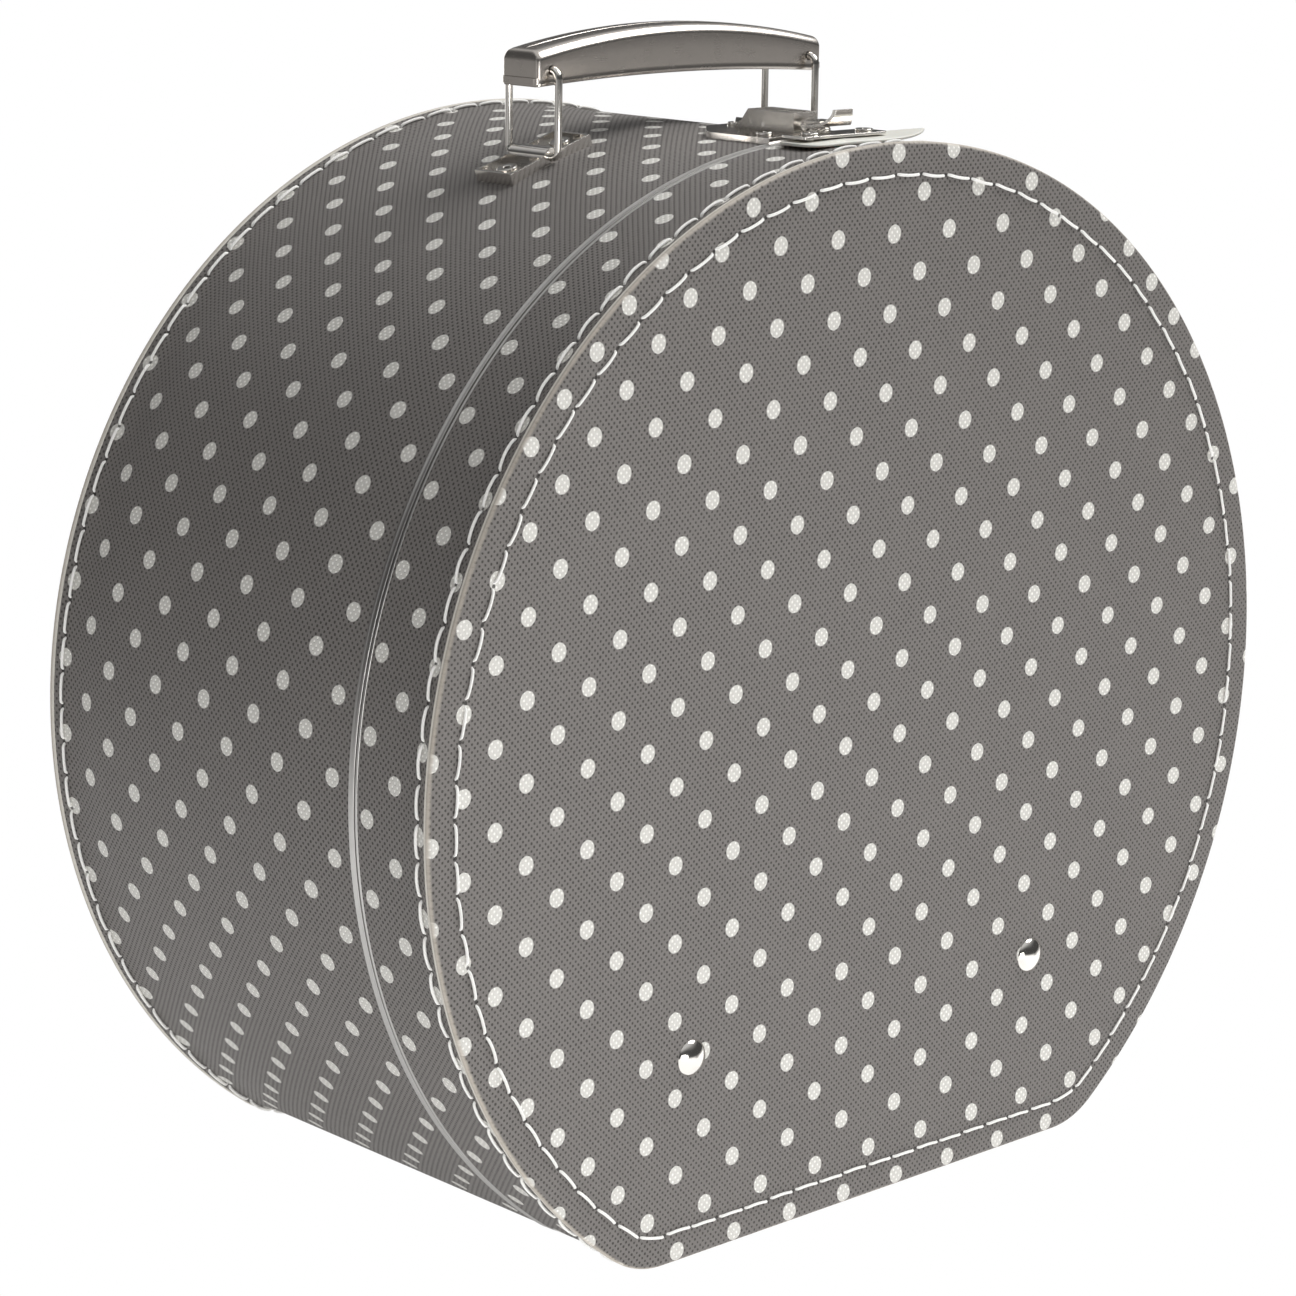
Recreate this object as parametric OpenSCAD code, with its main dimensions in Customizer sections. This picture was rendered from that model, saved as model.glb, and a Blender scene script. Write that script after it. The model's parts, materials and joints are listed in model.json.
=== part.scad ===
// Drum-shaped hat box: a circle with a flat base, standing on edge.
// X runs across the front, -Y is the front face, Z is up, and the base is at z = 0.

/* [Case] */
// Radius of the drum at its stitched end rims
drum_radius = 150; // [148:1:152]
// Height of the drum's centre above the base
axis_height = 125.5; // [124:0.5:127]
// Depth of the whole case, back to front
case_depth = 153; // [150:1:156]
// Depth of the lid, from the front face to the seam
lid_depth = 29; // [28:1:31]
// Radius of the two base corners
corner_radius = 26; // [22:1:30]
// How far the walls draw in behind the end rims
wall_inset = 1.5; // [1.5:0.1:1.7]
// Width of the end rims that the case stands on
rim_width = 3; // [2:0.5:4]
// Thickness of the wall board
board = 2; // [1.9:0.1:2.1]

/* [Stitching] */
// Distance of the wall's stitch line from the end face
wall_stitch_in = 5; // [4.5:0.5:6]
// Distance of the face's stitch line from the rim
face_stitch_in = 8; // [7:0.5:10]
// Diameter of the thread
thread_d = 0.8; // [0.6:0.1:0.8]

/* [Edge rails] */
// Visible width of the body's edge rail
body_rail_w = 2.2; // [1.8:0.1:2.6]
// Visible width of the lid's edge rail
lid_rail_w = 0.8; // [0.7:0.1:1]
// Gap between the closed rails
seam_gap = 0.4; // [0.3:0.1:0.6]
// How far the collar reaches into the lid
collar_reach = 5; // [4:0.5:5]

/* [Handle] */
// Distance of the handle's centre plane behind the case's middle
handle_y = 7; // [4:1:11]
// Distance between the two bails
bail_span = 92; // [88:1:93]
// Distance between the legs of one bail
bail_w = 19; // [18.5:0.5:20]
// Height of a bail between its two bars
bail_h = 21.8; // [21:0.1:22.4]
// Diameter of the bail wire
wire_d = 2; // [1.8:0.1:2.2]
// Overall length of the handle
handle_len = 101.5; // [101:0.5:104]
// Rise of the handle's arch
handle_rise = 4.8; // [4:0.2:5.6]

/* [Latch] */
// Length of the latch plate
latch_plate_len = 30.5; // [28:0.5:31]
// Width of the latch plate at the seam
latch_plate_w = 29; // [26:0.5:30]
// Width of the latch plate at the rear
latch_tail_w = 14; // [13:0.5:15]
// Width of the housing
housing_w = 8.5; // [8:0.5:10]
// Length of the housing along its top
housing_len = 16.4; // [15:0.1:17]
// Width of the keeper plate
keeper_w = 30; // [28:1:32]
// Width of the pad under the keeper plate
pad_w = 50; // [46:1:52]
// Length of the pad
pad_len = 14; // [13:0.5:14]

/* [Hinges] */
// Distance of each hinge from the middle
hinge_x = 42; // [36:1:46]
// Width of a hinge
hinge_w = 26; // [24:1:28]
// Length of a hinge leaf
hinge_leaf = 13; // [12:0.5:14]

/* [Hidden] */
$fn = 64;
big_fn = 360;

paper_grey = [0.42, 0.41, 0.40];
board_beige = [0.72, 0.66, 0.56];
lining_white = [0.90, 0.88, 0.83];
thread_white = [0.93, 0.92, 0.89];
tape_cream = [0.80, 0.78, 0.73];
pad_cream = [0.93, 0.92, 0.88];
nickel = [0.80, 0.79, 0.77];
steel = [0.70, 0.69, 0.67];
satin_steel = [0.62, 0.60, 0.58];
dark_steel = [0.46, 0.44, 0.42];
liner_dark = [0.30, 0.29, 0.28];
washer_steel = [0.75, 0.74, 0.71];

front_y = -case_depth / 2;
back_y = case_depth / 2;
seam_y = front_y + lid_depth;
inner = wall_inset + board;
glue = 0.1;
body_edge_y = seam_y + seam_gap / 2;
lid_edge_y = seam_y - seam_gap / 2;
rail_t = 0.5;
lining_t = 0.4;
wall_r = drum_radius - wall_inset;
top_z = axis_height + wall_r;
panel_t = 2;
// The wall board stops this far in from an end face, behind the seated end panel
panel_seat = panel_t + 0.02;
flange_in = inner + glue;
flange_depth = 10;
strip_t = 0.8;
strip_depth = 12;
strip_foot = 12;
collar_t = 1.2;
collar_in = inner + rail_t + 0.45;
collar_depth = 22;
rail_leg = 6;

// Height of the drum's surface, a radius r from its axis, at x
function surface_z(x, r) = axis_height + sqrt(r * r - x * x);
// Tilt of the drum's surface at x, measured from level
function surface_tilt(x) = asin(x / wall_r);

// ---------- the drum's outline ----------

// Centre of a rounded base corner: it touches both the drum and the base
corner_z = corner_radius;
corner_x = sqrt(pow(drum_radius - corner_radius, 2) - pow(axis_height - corner_radius, 2));

// Wedge that spans one rounded corner, from its centre outwards past the drum and the base
module corner_wedge(s) {
    reach = 1.4;
    below = -9;
    polygon([[s * corner_x, corner_z], [s * corner_x, below], [s * corner_x * reach, below],
             [s * corner_x * reach, axis_height + (corner_z - axis_height) * reach]]);
}

// The corner arcs stand this much proud, so that they cross the drum and the base and don't just touch them
corner_ease = 0.02;

// Circle with a flat base and rounded base corners, drawn in from the rim by inset
module outline(inset) {
    r = drum_radius - inset;
    difference() {
        translate([0, axis_height]) circle(r, $fn = big_fn);
        translate([-2 * r, inset - 2 * r]) square([4 * r, 2 * r]);
        for (s = [-1, 1]) difference() {
            corner_wedge(s);
            translate([s * corner_x, corner_z])
                circle(corner_radius - inset + corner_ease, $fn = big_fn);
        }
    }
}

// Solid slab of the outline between two depths
module slab(inset, y0, y1) {
    translate([0, y1, 0]) rotate([90, 0, 0]) linear_extrude(y1 - y0) outline(inset);
}

// Band of the outline between two depths, from inset a out to inset b
module band(a, b, y0, y1) {
    translate([0, y1, 0]) rotate([90, 0, 0]) linear_extrude(y1 - y0) difference() {
        outline(a);
        outline(b);
    }
}

// Cylinder along Y from y0 to y1
module rod_y(x, z, r, y0, y1) {
    translate([x, y1, z]) rotate([90, 0, 0]) cylinder(r = r, h = y1 - y0);
}

// Solid drum whose surface stands h above the wall
module drum_rod(h, y0, y1) {
    rod_y(0, axis_height, wall_r + h, y0, y1, $fn = big_fn);
}

// Cylinder along X from x0 to x1
module rod_x(y, z, r, x0, x1) {
    translate([x0, y, z]) rotate([0, 90, 0]) cylinder(r = r, h = x1 - x0);
}

// Places its children on the curved wall at x, with Z along the surface's normal
module on_wall(x, y) {
    translate([0, y, axis_height]) rotate([0, surface_tilt(x), 0]) translate([0, 0, wall_r])
        children();
}

// ---------- places of the fasteners ----------

rivet_play = 0.05;
bail_bar_lift = 1.6;
bail_bar_r = wall_r + bail_bar_lift;
bracket_x = bail_span / 2;
bracket_tilt = asin(bracket_x / bail_bar_r);
bracket_rivet_x = 9.3;
bracket_rivet_r = 1.5;
latch_front_y = body_edge_y + 1.1;
latch_rear_y = latch_front_y + latch_plate_len;
latch_rivets_at = [[0, latch_rear_y - 3.6], [-10.2, latch_front_y + 5.7], [10.2, latch_front_y + 5.7]];
pad_rear_y = seam_y - 2.5;
keeper_rivet_x = 9.6;
keeper_rivet_y = pad_rear_y - 5.8;
keeper_rivets_at = [[-keeper_rivet_x, keeper_rivet_y], [keeper_rivet_x, keeper_rivet_y]];
hinge_rivet_x = 8;
hinge_rivet_y = 9;
face_rivet_x = 63.5;
face_rivet_z = 52;
face_rivet_r = 1.6;
face_washer_r = 4.5;
small_r = 1.2;

// Places its children on the curved wall at a tilt, with Z along the normal
module at_tilt(tilt, y) {
    translate([0, y, axis_height]) rotate([0, tilt, 0]) translate([0, 0, wall_r]) children();
}

// Straight hole through everything from z0 to z1 of the local frame
module drill(r, z0, z1) {
    translate([0, 0, z0]) cylinder(r = r + rivet_play, h = z1 - z0);
}

module bracket_holes() {
    for (s = [-1, 1], e = [-1, 1])
        at_tilt(s * bracket_tilt, handle_y)
            translate([e * bracket_rivet_x, 0, 0]) drill(bracket_rivet_r, -9, 9);
}

module latch_holes() {
    for (p = latch_rivets_at) on_wall(p[0], p[1]) drill(small_r, -9, 9);
}

module keeper_holes() {
    for (p = keeper_rivets_at) translate([p[0], p[1], top_z]) drill(small_r, -9, 9);
}

module hinge_holes(side) {
    for (s = [-1, 1], e = [-1, 1])
        translate([s * hinge_x + e * hinge_rivet_x, seam_y + side * hinge_rivet_y, 0])
            drill(small_r, -1, 12);
}

module face_holes(y0, y1) {
    for (s = [-1, 1]) rod_y(s * face_rivet_x, face_rivet_z, face_rivet_r + rivet_play, y0, y1);
}

// Room for the hinge knuckles in both shells' edges
module hinge_notches() {
    for (s = [-1, 1])
        translate([s * hinge_x - hinge_w / 2 - 0.4, seam_y - 2.4, -1])
            cube([hinge_w + 0.8, 4.8, inner + 0.98]);
}

// ---------- body ----------

module body_wall() {
    color(paper_grey) difference() {
        union() {
            band(wall_inset, inner, body_edge_y + body_rail_w, back_y - panel_seat);
            band(wall_inset + rail_t, inner, body_edge_y + rail_t, body_edge_y + body_rail_w + 0.01);
            band(0, board, back_y - rim_width, back_y);
        }
        bracket_holes();
        latch_holes();
        hinge_holes(1);
        hinge_notches();
    }
}

// Pressed pan that closes one end; its face points towards side
module end_panel(side) {
    face = side * case_depth / 2;
    difference() {
        union() {
            if (side > 0) slab(board + glue, face - panel_t, face);
            else slab(board + glue, face, face + panel_t);
            if (side > 0) band(flange_in, flange_in + panel_t, face - flange_depth, face - panel_t + 0.01);
            else band(flange_in, flange_in + panel_t, face + panel_t - 0.01, face + flange_depth);
        }
        face_holes(face - 5, face + 5);
    }
}

// Angle strip inside the corner that the stitches pull against
module corner_strip(side) {
    back = side * (case_depth / 2 - panel_t - glue);
    a = flange_in + panel_t + glue;
    if (side > 0) {
        band(a, a + strip_t, back - strip_depth, back);
        band(a, a + strip_foot, back - strip_t, back);
    } else {
        band(a, a + strip_t, back, back + strip_depth);
        band(a, a + strip_foot, back, back + strip_t);
    }
}

module back_panel() {
    color(paper_grey) end_panel(1);
}

module back_corner_strip() {
    color(board_beige) corner_strip(1);
}

// Metal binding on the body's opening: an outer leg, a web and a longer inner leg
module body_edge_rail() {
    color(steel) difference() {
        union() {
            band(wall_inset, wall_inset + rail_t - 0.01, body_edge_y, body_edge_y + body_rail_w);
            band(wall_inset, inner + rail_t, body_edge_y, body_edge_y + rail_t - 0.01);
            band(inner + 0.01, inner + rail_t, body_edge_y, body_edge_y + 3.4);
        }
        hinge_notches();
        hinge_holes(1);
    }
}

module body_collar() {
    color(board_beige) difference() {
        band(collar_in, collar_in + collar_t, seam_y - collar_reach, seam_y + collar_depth);
        latch_holes();
        hinge_holes(1);
    }
}

module body_wall_lining() {
    color(lining_white) difference() {
        band(inner + 0.05, inner + 0.05 + lining_t, body_edge_y + 3.6, back_y - flange_depth - 0.1);
        bracket_holes();
        latch_holes();
        hinge_holes(1);
    }
}

module panel_lining(side) {
    y = side * (case_depth / 2 - panel_t - 0.05);
    difference() {
        if (side > 0) slab(flange_in + panel_t + strip_foot + 0.3, y - lining_t, y);
        else slab(flange_in + panel_t + strip_foot + 0.3, y, y + lining_t);
        face_holes(y - 5, y + 5);
    }
}

module back_panel_lining() {
    color(lining_white) panel_lining(1);
}

module back_face_thread() {
    color(thread_white)
        band(face_stitch_in, face_stitch_in + thread_d, back_y + 0.01, back_y + thread_d);
}

module wall_thread(y) {
    band(wall_inset - thread_d, wall_inset - 0.02, y - thread_d / 2, y + thread_d / 2);
}

module body_wall_thread() {
    color(thread_white) wall_thread(back_y - wall_stitch_in);
}

dome_h = 2.2;
dome_r = 6.8;
// Domed rivet along Y; side says which way the dome points
module face_rivet(side, stack) {
    face = side * case_depth / 2;
    turn = side > 0 ? -90 : 90;
    for (s = [-1, 1]) translate([s * face_rivet_x, face, face_rivet_z]) rotate([turn, 0, 0]) {
        translate([0, 0, 0.02]) rotate_extrude() intersection() {
            translate([0, dome_h - dome_r]) circle(dome_r);
            square([dome_r, dome_h]);
        }
        translate([0, 0, -stack]) cylinder(r = face_rivet_r, h = stack + 0.1);
        translate([0, 0, -stack - 0.6]) cylinder(r = 2.6, h = 0.62);
    }
}

face_stack = 4.2;
module back_rivets() {
    color(nickel) face_rivet(1, face_stack);
}

module washer_y(y0, y1) {
    for (s = [-1, 1]) difference() {
        rod_y(s * face_rivet_x, face_rivet_z, face_washer_r, y0, y1);
        rod_y(s * face_rivet_x, face_rivet_z, face_rivet_r + rivet_play, y0 - 1, y1 + 1);
    }
}

tape_t = 0.6;
tape_gap = panel_t + 0.05 + lining_t + 0.05;
washer_gap = tape_gap + tape_t + 0.05;
module back_rivet_washers() {
    color(washer_steel) washer_y(back_y - face_stack + 0.02, back_y - washer_gap);
}

// ---------- lid ----------

module lid_wall() {
    color(paper_grey) difference() {
        union() {
            band(wall_inset, inner, front_y + panel_seat, lid_edge_y - lid_rail_w);
            band(wall_inset + rail_t, inner, lid_edge_y - lid_rail_w - 0.01, lid_edge_y - rail_t);
            band(0, board, front_y, front_y + rim_width);
        }
        keeper_holes();
        hinge_holes(-1);
        hinge_notches();
    }
}

module front_panel() {
    color(paper_grey) end_panel(-1);
}

module front_corner_strip() {
    color(board_beige) corner_strip(-1);
}

module lid_edge_rail() {
    color(nickel) difference() {
        union() {
            band(wall_inset, wall_inset + rail_t - 0.01, lid_edge_y - lid_rail_w, lid_edge_y);
            band(wall_inset, inner + 0.4, lid_edge_y - rail_t + 0.01, lid_edge_y);
            band(inner + 0.01, inner + 0.4, lid_edge_y - 2.4, lid_edge_y);
        }
        hinge_notches();
    }
}

module lid_wall_lining() {
    color(lining_white) difference() {
        band(inner + 0.05, inner + 0.05 + lining_t, front_y + flange_depth + 0.1, lid_edge_y - 2.6);
        keeper_holes();
        hinge_holes(-1);
    }
}

module front_panel_lining() {
    color(lining_white) panel_lining(-1);
}

module front_face_thread() {
    color(thread_white)
        band(face_stitch_in, face_stitch_in + thread_d, front_y - thread_d, front_y - 0.01);
}

module lid_wall_thread() {
    color(thread_white) wall_thread(front_y + wall_stitch_in);
}

module front_rivets() {
    color(nickel) face_rivet(-1, face_stack);
}

module front_rivet_washers() {
    color(washer_steel) washer_y(front_y + washer_gap, front_y + face_stack - 0.02);
}

// Textile tape that hangs slack between its front and back rivets when the case is closed
tape_w = 12;
tape_floor = inner + 3.2;
tape_end = case_depth / 2 - tape_gap;
tape_power = 2.3;
tape_steps = 32;
tape_leaves_z = face_rivet_z - 8;
tape_top_z = face_rivet_z + 7;
function tape_z(y, lift) = tape_floor + lift
    + (tape_leaves_z - tape_floor) * pow(abs(y) / tape_end, tape_power);
module stay_tape(s) {
    ys = [for (i = [0 : tape_steps]) -tape_end + 2 * tape_end * i / tape_steps];
    difference() {
        translate([s * face_rivet_x + tape_w / 2, 0, 0]) rotate([90, 0, -90]) linear_extrude(tape_w) union() {
            polygon(concat([for (y = ys) [-y, tape_z(y, 0)]],
                           [for (i = [tape_steps : -1 : 0]) [-ys[i], tape_z(ys[i], tape_t)]]));
            for (y = [-tape_end, tape_end - tape_t])
                translate([y, tape_leaves_z - 0.5]) square([tape_t, tape_top_z - tape_leaves_z + 0.5]);
        }
        face_holes(-case_depth / 2, case_depth / 2);
        rod_y(s * face_rivet_x, face_rivet_z, face_washer_r + 0.1, tape_end - tape_t - 6, tape_end - tape_t);
        rod_y(s * face_rivet_x, face_rivet_z, face_washer_r + 0.1, tape_t - tape_end, tape_t - tape_end + 6);
    }
}

module stay_tape_left() {
    color(tape_cream) stay_tape(-1);
}

module stay_tape_right() {
    color(tape_cream) stay_tape(1);
}

// ---------- hinges ----------

knuckle_r = 1.4;
hinge_pin_r = 0.75;
leaf_t = 0.78;
knuckle_gap = 0.3;
third = hinge_w / 3;
module hinge_leaf_plate(s, side) {
    y0 = side > 0 ? seam_y + 1.9 : seam_y - hinge_leaf;
    translate([s * hinge_x - hinge_w / 2, y0, wall_inset - 0.02 - leaf_t])
        cube([hinge_w, hinge_leaf - 1.9, leaf_t]);
}

module hinge_knuckle(s, side, x0, x1, bore) {
    x = s * hinge_x;
    difference() {
        union() {
            rod_x(seam_y, wall_inset, knuckle_r, x + x0, x + x1);
            translate([x + x0, side > 0 ? seam_y : seam_y - 2, wall_inset - 0.02 - leaf_t])
                cube([x1 - x0, 2, leaf_t]);
        }
        rod_x(seam_y, wall_inset, bore, x + x0 - 1, x + x1 + 1);
    }
}

module hinge_leaf_body(s) {
    difference() {
        union() {
            hinge_leaf_plate(s, 1);
            hinge_knuckle(s, 1, -hinge_w / 2, -third / 2 - knuckle_gap, hinge_pin_r + 0.02);
            hinge_knuckle(s, 1, third / 2 + knuckle_gap, hinge_w / 2, hinge_pin_r + 0.02);
        }
        hinge_holes(1);
    }
}

module hinge_leaf_lid(s) {
    difference() {
        union() {
            hinge_leaf_plate(s, -1);
            hinge_knuckle(s, -1, -third / 2, third / 2, hinge_pin_r + 0.05);
        }
        hinge_holes(-1);
    }
}

module hinge_leaf_body_left() {
    color(steel) hinge_leaf_body(-1);
}

module hinge_leaf_body_right() {
    color(steel) hinge_leaf_body(1);
}

module hinge_leaf_lid_left() {
    color(steel) hinge_leaf_lid(-1);
}

module hinge_leaf_lid_right() {
    color(steel) hinge_leaf_lid(1);
}

module hinge_pin(s) {
    rod_x(seam_y, wall_inset, hinge_pin_r, s * hinge_x - hinge_w / 2, s * hinge_x + hinge_w / 2);
}

module hinge_pin_left() {
    color(nickel) hinge_pin(-1);
}

module hinge_pin_right() {
    color(nickel) hinge_pin(1);
}

// Flat-headed rivets through a leaf and the base, clinched inside at height top
module hinge_rivets(side, top) {
    head = wall_inset - 0.02 - leaf_t;
    for (s = [-1, 1], e = [-1, 1])
        translate([s * hinge_x + e * hinge_rivet_x, seam_y + side * hinge_rivet_y, 0]) {
            translate([0, 0, head - 0.52]) cylinder(r = 2.6, h = 0.5);
            translate([0, 0, head - 0.1]) cylinder(r = small_r, h = top - head + 0.1);
            translate([0, 0, top]) cylinder(r = 2.4, h = 0.6);
        }
}

module hinge_rivets_body() {
    color(washer_steel) hinge_rivets(1, collar_in + collar_t + 0.05);
}

module hinge_rivets_lid() {
    color(washer_steel) hinge_rivets(-1, inner + lining_t + 0.1);
}

// ---------- handle ----------

bracket_len = 28.2;
bracket_w = 13.9;
bracket_floor = 1;
bracket_rim_h = 2.4;
bracket_rim_t = 0.8;
bridge_w = 7.2;
bridge_h = 3.9;
wire_play = 0.05;
bar_z = axis_height + sqrt(bail_bar_r * bail_bar_r - bracket_x * bracket_x);
grip_z = bar_z + bail_h;
bend_r = 1.4;
handle_w = 14;
shell_t = 1;
handle_low = -4.35;
handle_end_h = 9.2;
handle_belly = 1.9;

// Box with square corners, centred in X and Y, from z0 to z1
module centred_box(w, l, z0, z1) {
    translate([-w / 2, -l / 2, z0]) cube([w, l, z1 - z0]);
}

module handle_bracket(s) {
    difference() {
        at_tilt(s * bracket_tilt, handle_y) difference() {
            union() {
                difference() {
                    centred_box(bracket_len, bracket_w, -1, bracket_rim_h);
                    for (e = [-1, 1]) {
                        pocket = bracket_len / 2 - bracket_rim_t - bridge_w / 2;
                        translate([e * (bridge_w / 2 + pocket / 2), 0, 0])
                            centred_box(pocket, bracket_w - 2 * bracket_rim_t, bracket_floor, 9);
                    }
                }
                centred_box(bridge_w, bracket_w, 0, bridge_h - 1.2);
                translate([0, 0, bail_bar_lift]) rotate([90, 0, 0])
                    cylinder(r = bridge_h - bail_bar_lift, h = bracket_w, center = true);
            }
            translate([0, 0, bail_bar_lift]) rotate([90, 0, 0])
                cylinder(r = wire_d / 2 + wire_play, h = bracket_w + 2, center = true);
        }
        drum_rod(0.02, handle_y - 30, handle_y + 30);
        bracket_holes();
    }
}

module handle_bracket_left() {
    color(steel) handle_bracket(-1);
}

module handle_bracket_right() {
    color(steel) handle_bracket(1);
}

// Tubular rivet: head on z = head_z, clinched below z = -deep
module tube_rivet(r, bore, head_r, head_z, head_h, deep) {
    difference() {
        union() {
            translate([0, 0, head_z + 0.01]) cylinder(r = head_r, h = head_h);
            translate([0, 0, -deep]) cylinder(r = r, h = deep + head_z + 0.1);
            translate([0, 0, -deep - 0.6]) cylinder(r = r + 1.1, h = 0.6);
        }
        translate([0, 0, -deep - 9]) cylinder(r = bore, h = deep + 20);
    }
}

module ring_washer(r_out, r_in, top, t) {
    translate([0, 0, -top - t]) difference() {
        cylinder(r = r_out, h = t);
        translate([0, 0, -1]) cylinder(r = r_in, h = t + 2);
    }
}

inside_gap = board + lining_t + 0.2;
// Depth at which a washer across the curved lining clears it at both ends of a bracket
bracket_washer_in = inside_gap + 0.48;
washer_t = 0.6;
module bracket_rivets() {
    color(nickel) for (s = [-1, 1], e = [-1, 1])
        at_tilt(s * bracket_tilt, handle_y) translate([e * bracket_rivet_x, 0, 0])
            tube_rivet(bracket_rivet_r, 0.9, 2.7, bracket_floor, 1, bracket_washer_in + 0.05 + washer_t);
}

module bracket_washers() {
    color(washer_steel) for (s = [-1, 1], e = [-1, 1])
        at_tilt(s * bracket_tilt, handle_y) translate([e * bracket_rivet_x, 0, 0])
            ring_washer(4, bracket_rivet_r + rivet_play, bracket_washer_in, washer_t);
}

// Closed loop of wire: two bars along Y joined by two upright legs
module bail(s) {
    r = wire_d / 2;
    half = bail_w / 2;
    bar = half - bend_r;
    for (z = [bar_z, grip_z])
        rod_y(s * bracket_x, z, r, handle_y - bar, handle_y + bar);
    for (e = [-1, 1]) {
        translate([s * bracket_x, handle_y + e * half, bar_z + bend_r])
            cylinder(r = r, h = bail_h - 2 * bend_r);
        for (up = [0, 1])
            translate([s * bracket_x, handle_y + e * bar, up ? grip_z - bend_r : bar_z + bend_r])
                rotate([0, 90, 0]) rotate([0, 0, up ? (e > 0 ? 90 : 180) : (e > 0 ? 0 : -90)])
                    rotate_extrude(angle = 90) translate([bend_r, 0]) circle(r);
    }
}

module bail_left() {
    color(nickel) bail(-1);
}

module bail_right() {
    color(nickel) bail(1);
}

handle_half = handle_len / 2;
arch_r = (handle_half * handle_half + pow(handle_rise + 0.5, 2)) / (2 * (handle_rise + 0.5));
belly_r = (handle_half * handle_half + handle_belly * handle_belly) / (2 * handle_belly);
handle_bottom_z = grip_z + handle_low;
arch_top_z = handle_bottom_z + handle_end_h + handle_rise + 0.5;
arch_cz = arch_top_z - arch_r;
belly_cz = handle_bottom_z + handle_belly - belly_r;
arch_a = 2 * asin(handle_half / arch_r);
chamfer = 2;

// Arched bar: a chamfered section swept along the handle's arch
module arched(width, top_r, low_r, ch, sweep) {
    w = width / 2;
    translate([0, handle_y, arch_cz]) rotate([90, 0, 0]) rotate([0, 0, 90 - sweep / 2])
        rotate_extrude(angle = sweep, $fn = 2 * big_fn)
            polygon([[low_r, -w], [top_r - ch, -w], [top_r, -w + ch],
                     [top_r, w - ch], [top_r - ch, w], [low_r, w]]);
}

module handle_shell() {
    wall_a = asin(shell_t / arch_r);
    color(dark_steel) difference() {
        arched(handle_w, arch_r, arch_r - 14, chamfer, arch_a);
        arched(handle_w - 2 * shell_t, arch_r - shell_t, arch_r - 15, chamfer * 0.7, arch_a - 2 * wall_a);
        rod_y(0, belly_cz, belly_r, handle_y - 20, handle_y + 20, $fn = 2 * big_fn);
        for (s = [-1, 1])
            rod_y(s * bracket_x, grip_z, wire_d / 2 + wire_play, handle_y - 20, handle_y + 20);
    }
}

// Strip that closes the underside of the hollow handle
module handle_liner() {
    color(liner_dark) difference() {
        intersection() {
            arched(handle_w - 2 * shell_t - 0.1, arch_r - 2 * shell_t, arch_r - 15, chamfer * 0.7,
                   arch_a - 4 * asin(shell_t / arch_r));
            rod_y(0, belly_cz, belly_r + 1.6, handle_y - 20, handle_y + 20, $fn = 2 * big_fn);
        }
        rod_y(0, belly_cz, belly_r + 0.6, handle_y - 21, handle_y + 21, $fn = 2 * big_fn);
    }
}

// ---------- latch ----------

plate_h = 1.6;
plate_t = 0.7;
housing_h = 5;
housing_t = 0.6;
housing_front_y = latch_front_y + 1.7;
housing_back_y = housing_front_y + housing_len;
housing_slope = 4.9;
spring_pin_y = housing_front_y + 10.9;
spring_pin_h = 1.3;
spring_pin_r = 0.7;
spring_eye_r = 1.1;
lever_y = seam_y + 0.4;
lever_h = 3.2;
lever_pin_r = 0.7;
lever_base = top_z;
lever_arm_w = 6.4;
ear_w = 4;
ear_t = 0.8;
ear_r = 1;
cheek_r = 1.2;
arm_top = 5;
arm_t = 0.6;
arm_end_y = lever_y - 3;
spade_y = lever_y - 5.6;
spade_w = 14.7;
tip_w = 5.9;
tip_reach = 5.4;
tip_rise = 4.6;
spade_z = 3.65;
spade_t = 0.7;

// Outline of the latch plate, which narrows to its tail, drawn in by m
module latch_outline(m) {
    rear = latch_rear_y - m;
    front = latch_front_y + m;
    tail = latch_tail_w / 2 - m;
    wide = latch_plate_w / 2 - m;
    span = latch_rear_y - latch_front_y;
    polygon([[-tail, rear], [-wide + 1.2, rear - span * 0.22], [-wide, rear - span * 0.32], [-wide, front],
             [wide, front], [wide, rear - span * 0.32], [wide - 1.2, rear - span * 0.22], [tail, rear]]);
}

module latch_plate() {
    color(steel) difference() {
        intersection() {
            translate([0, 0, top_z - 5]) linear_extrude(10) latch_outline(0);
            drum_rod(plate_h, latch_front_y - 1, latch_rear_y + 1);
        }
        drum_rod(0.02, latch_front_y - 2, latch_rear_y + 2);
        intersection() {
            translate([0, 0, top_z - 6]) linear_extrude(12) latch_outline(plate_t);
            drum_rod(plate_h - plate_t, latch_front_y - 2, latch_rear_y + 2);
        }
        latch_holes();
    }
}

// Side profile of the housing in Y and height above the drum, drawn in by m
module housing_side(m) {
    top = plate_h + housing_h - m;
    front = housing_front_y + m;
    polygon([[front, -3], [front, top], [housing_back_y - m * 0.5, top],
             [housing_back_y + housing_slope * 0.5 - m, top - housing_h * 0.62],
             [housing_back_y + housing_slope - m, plate_h + 0.5 - m],
             [housing_back_y + housing_slope - m, -3]]);
}

// Extrudes a profile drawn in Y and height above the drum across x0 to x1
module across(x0, x1) {
    translate([x0, 0, lever_base]) rotate([90, 0, 90]) linear_extrude(x1 - x0) children();
}

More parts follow.
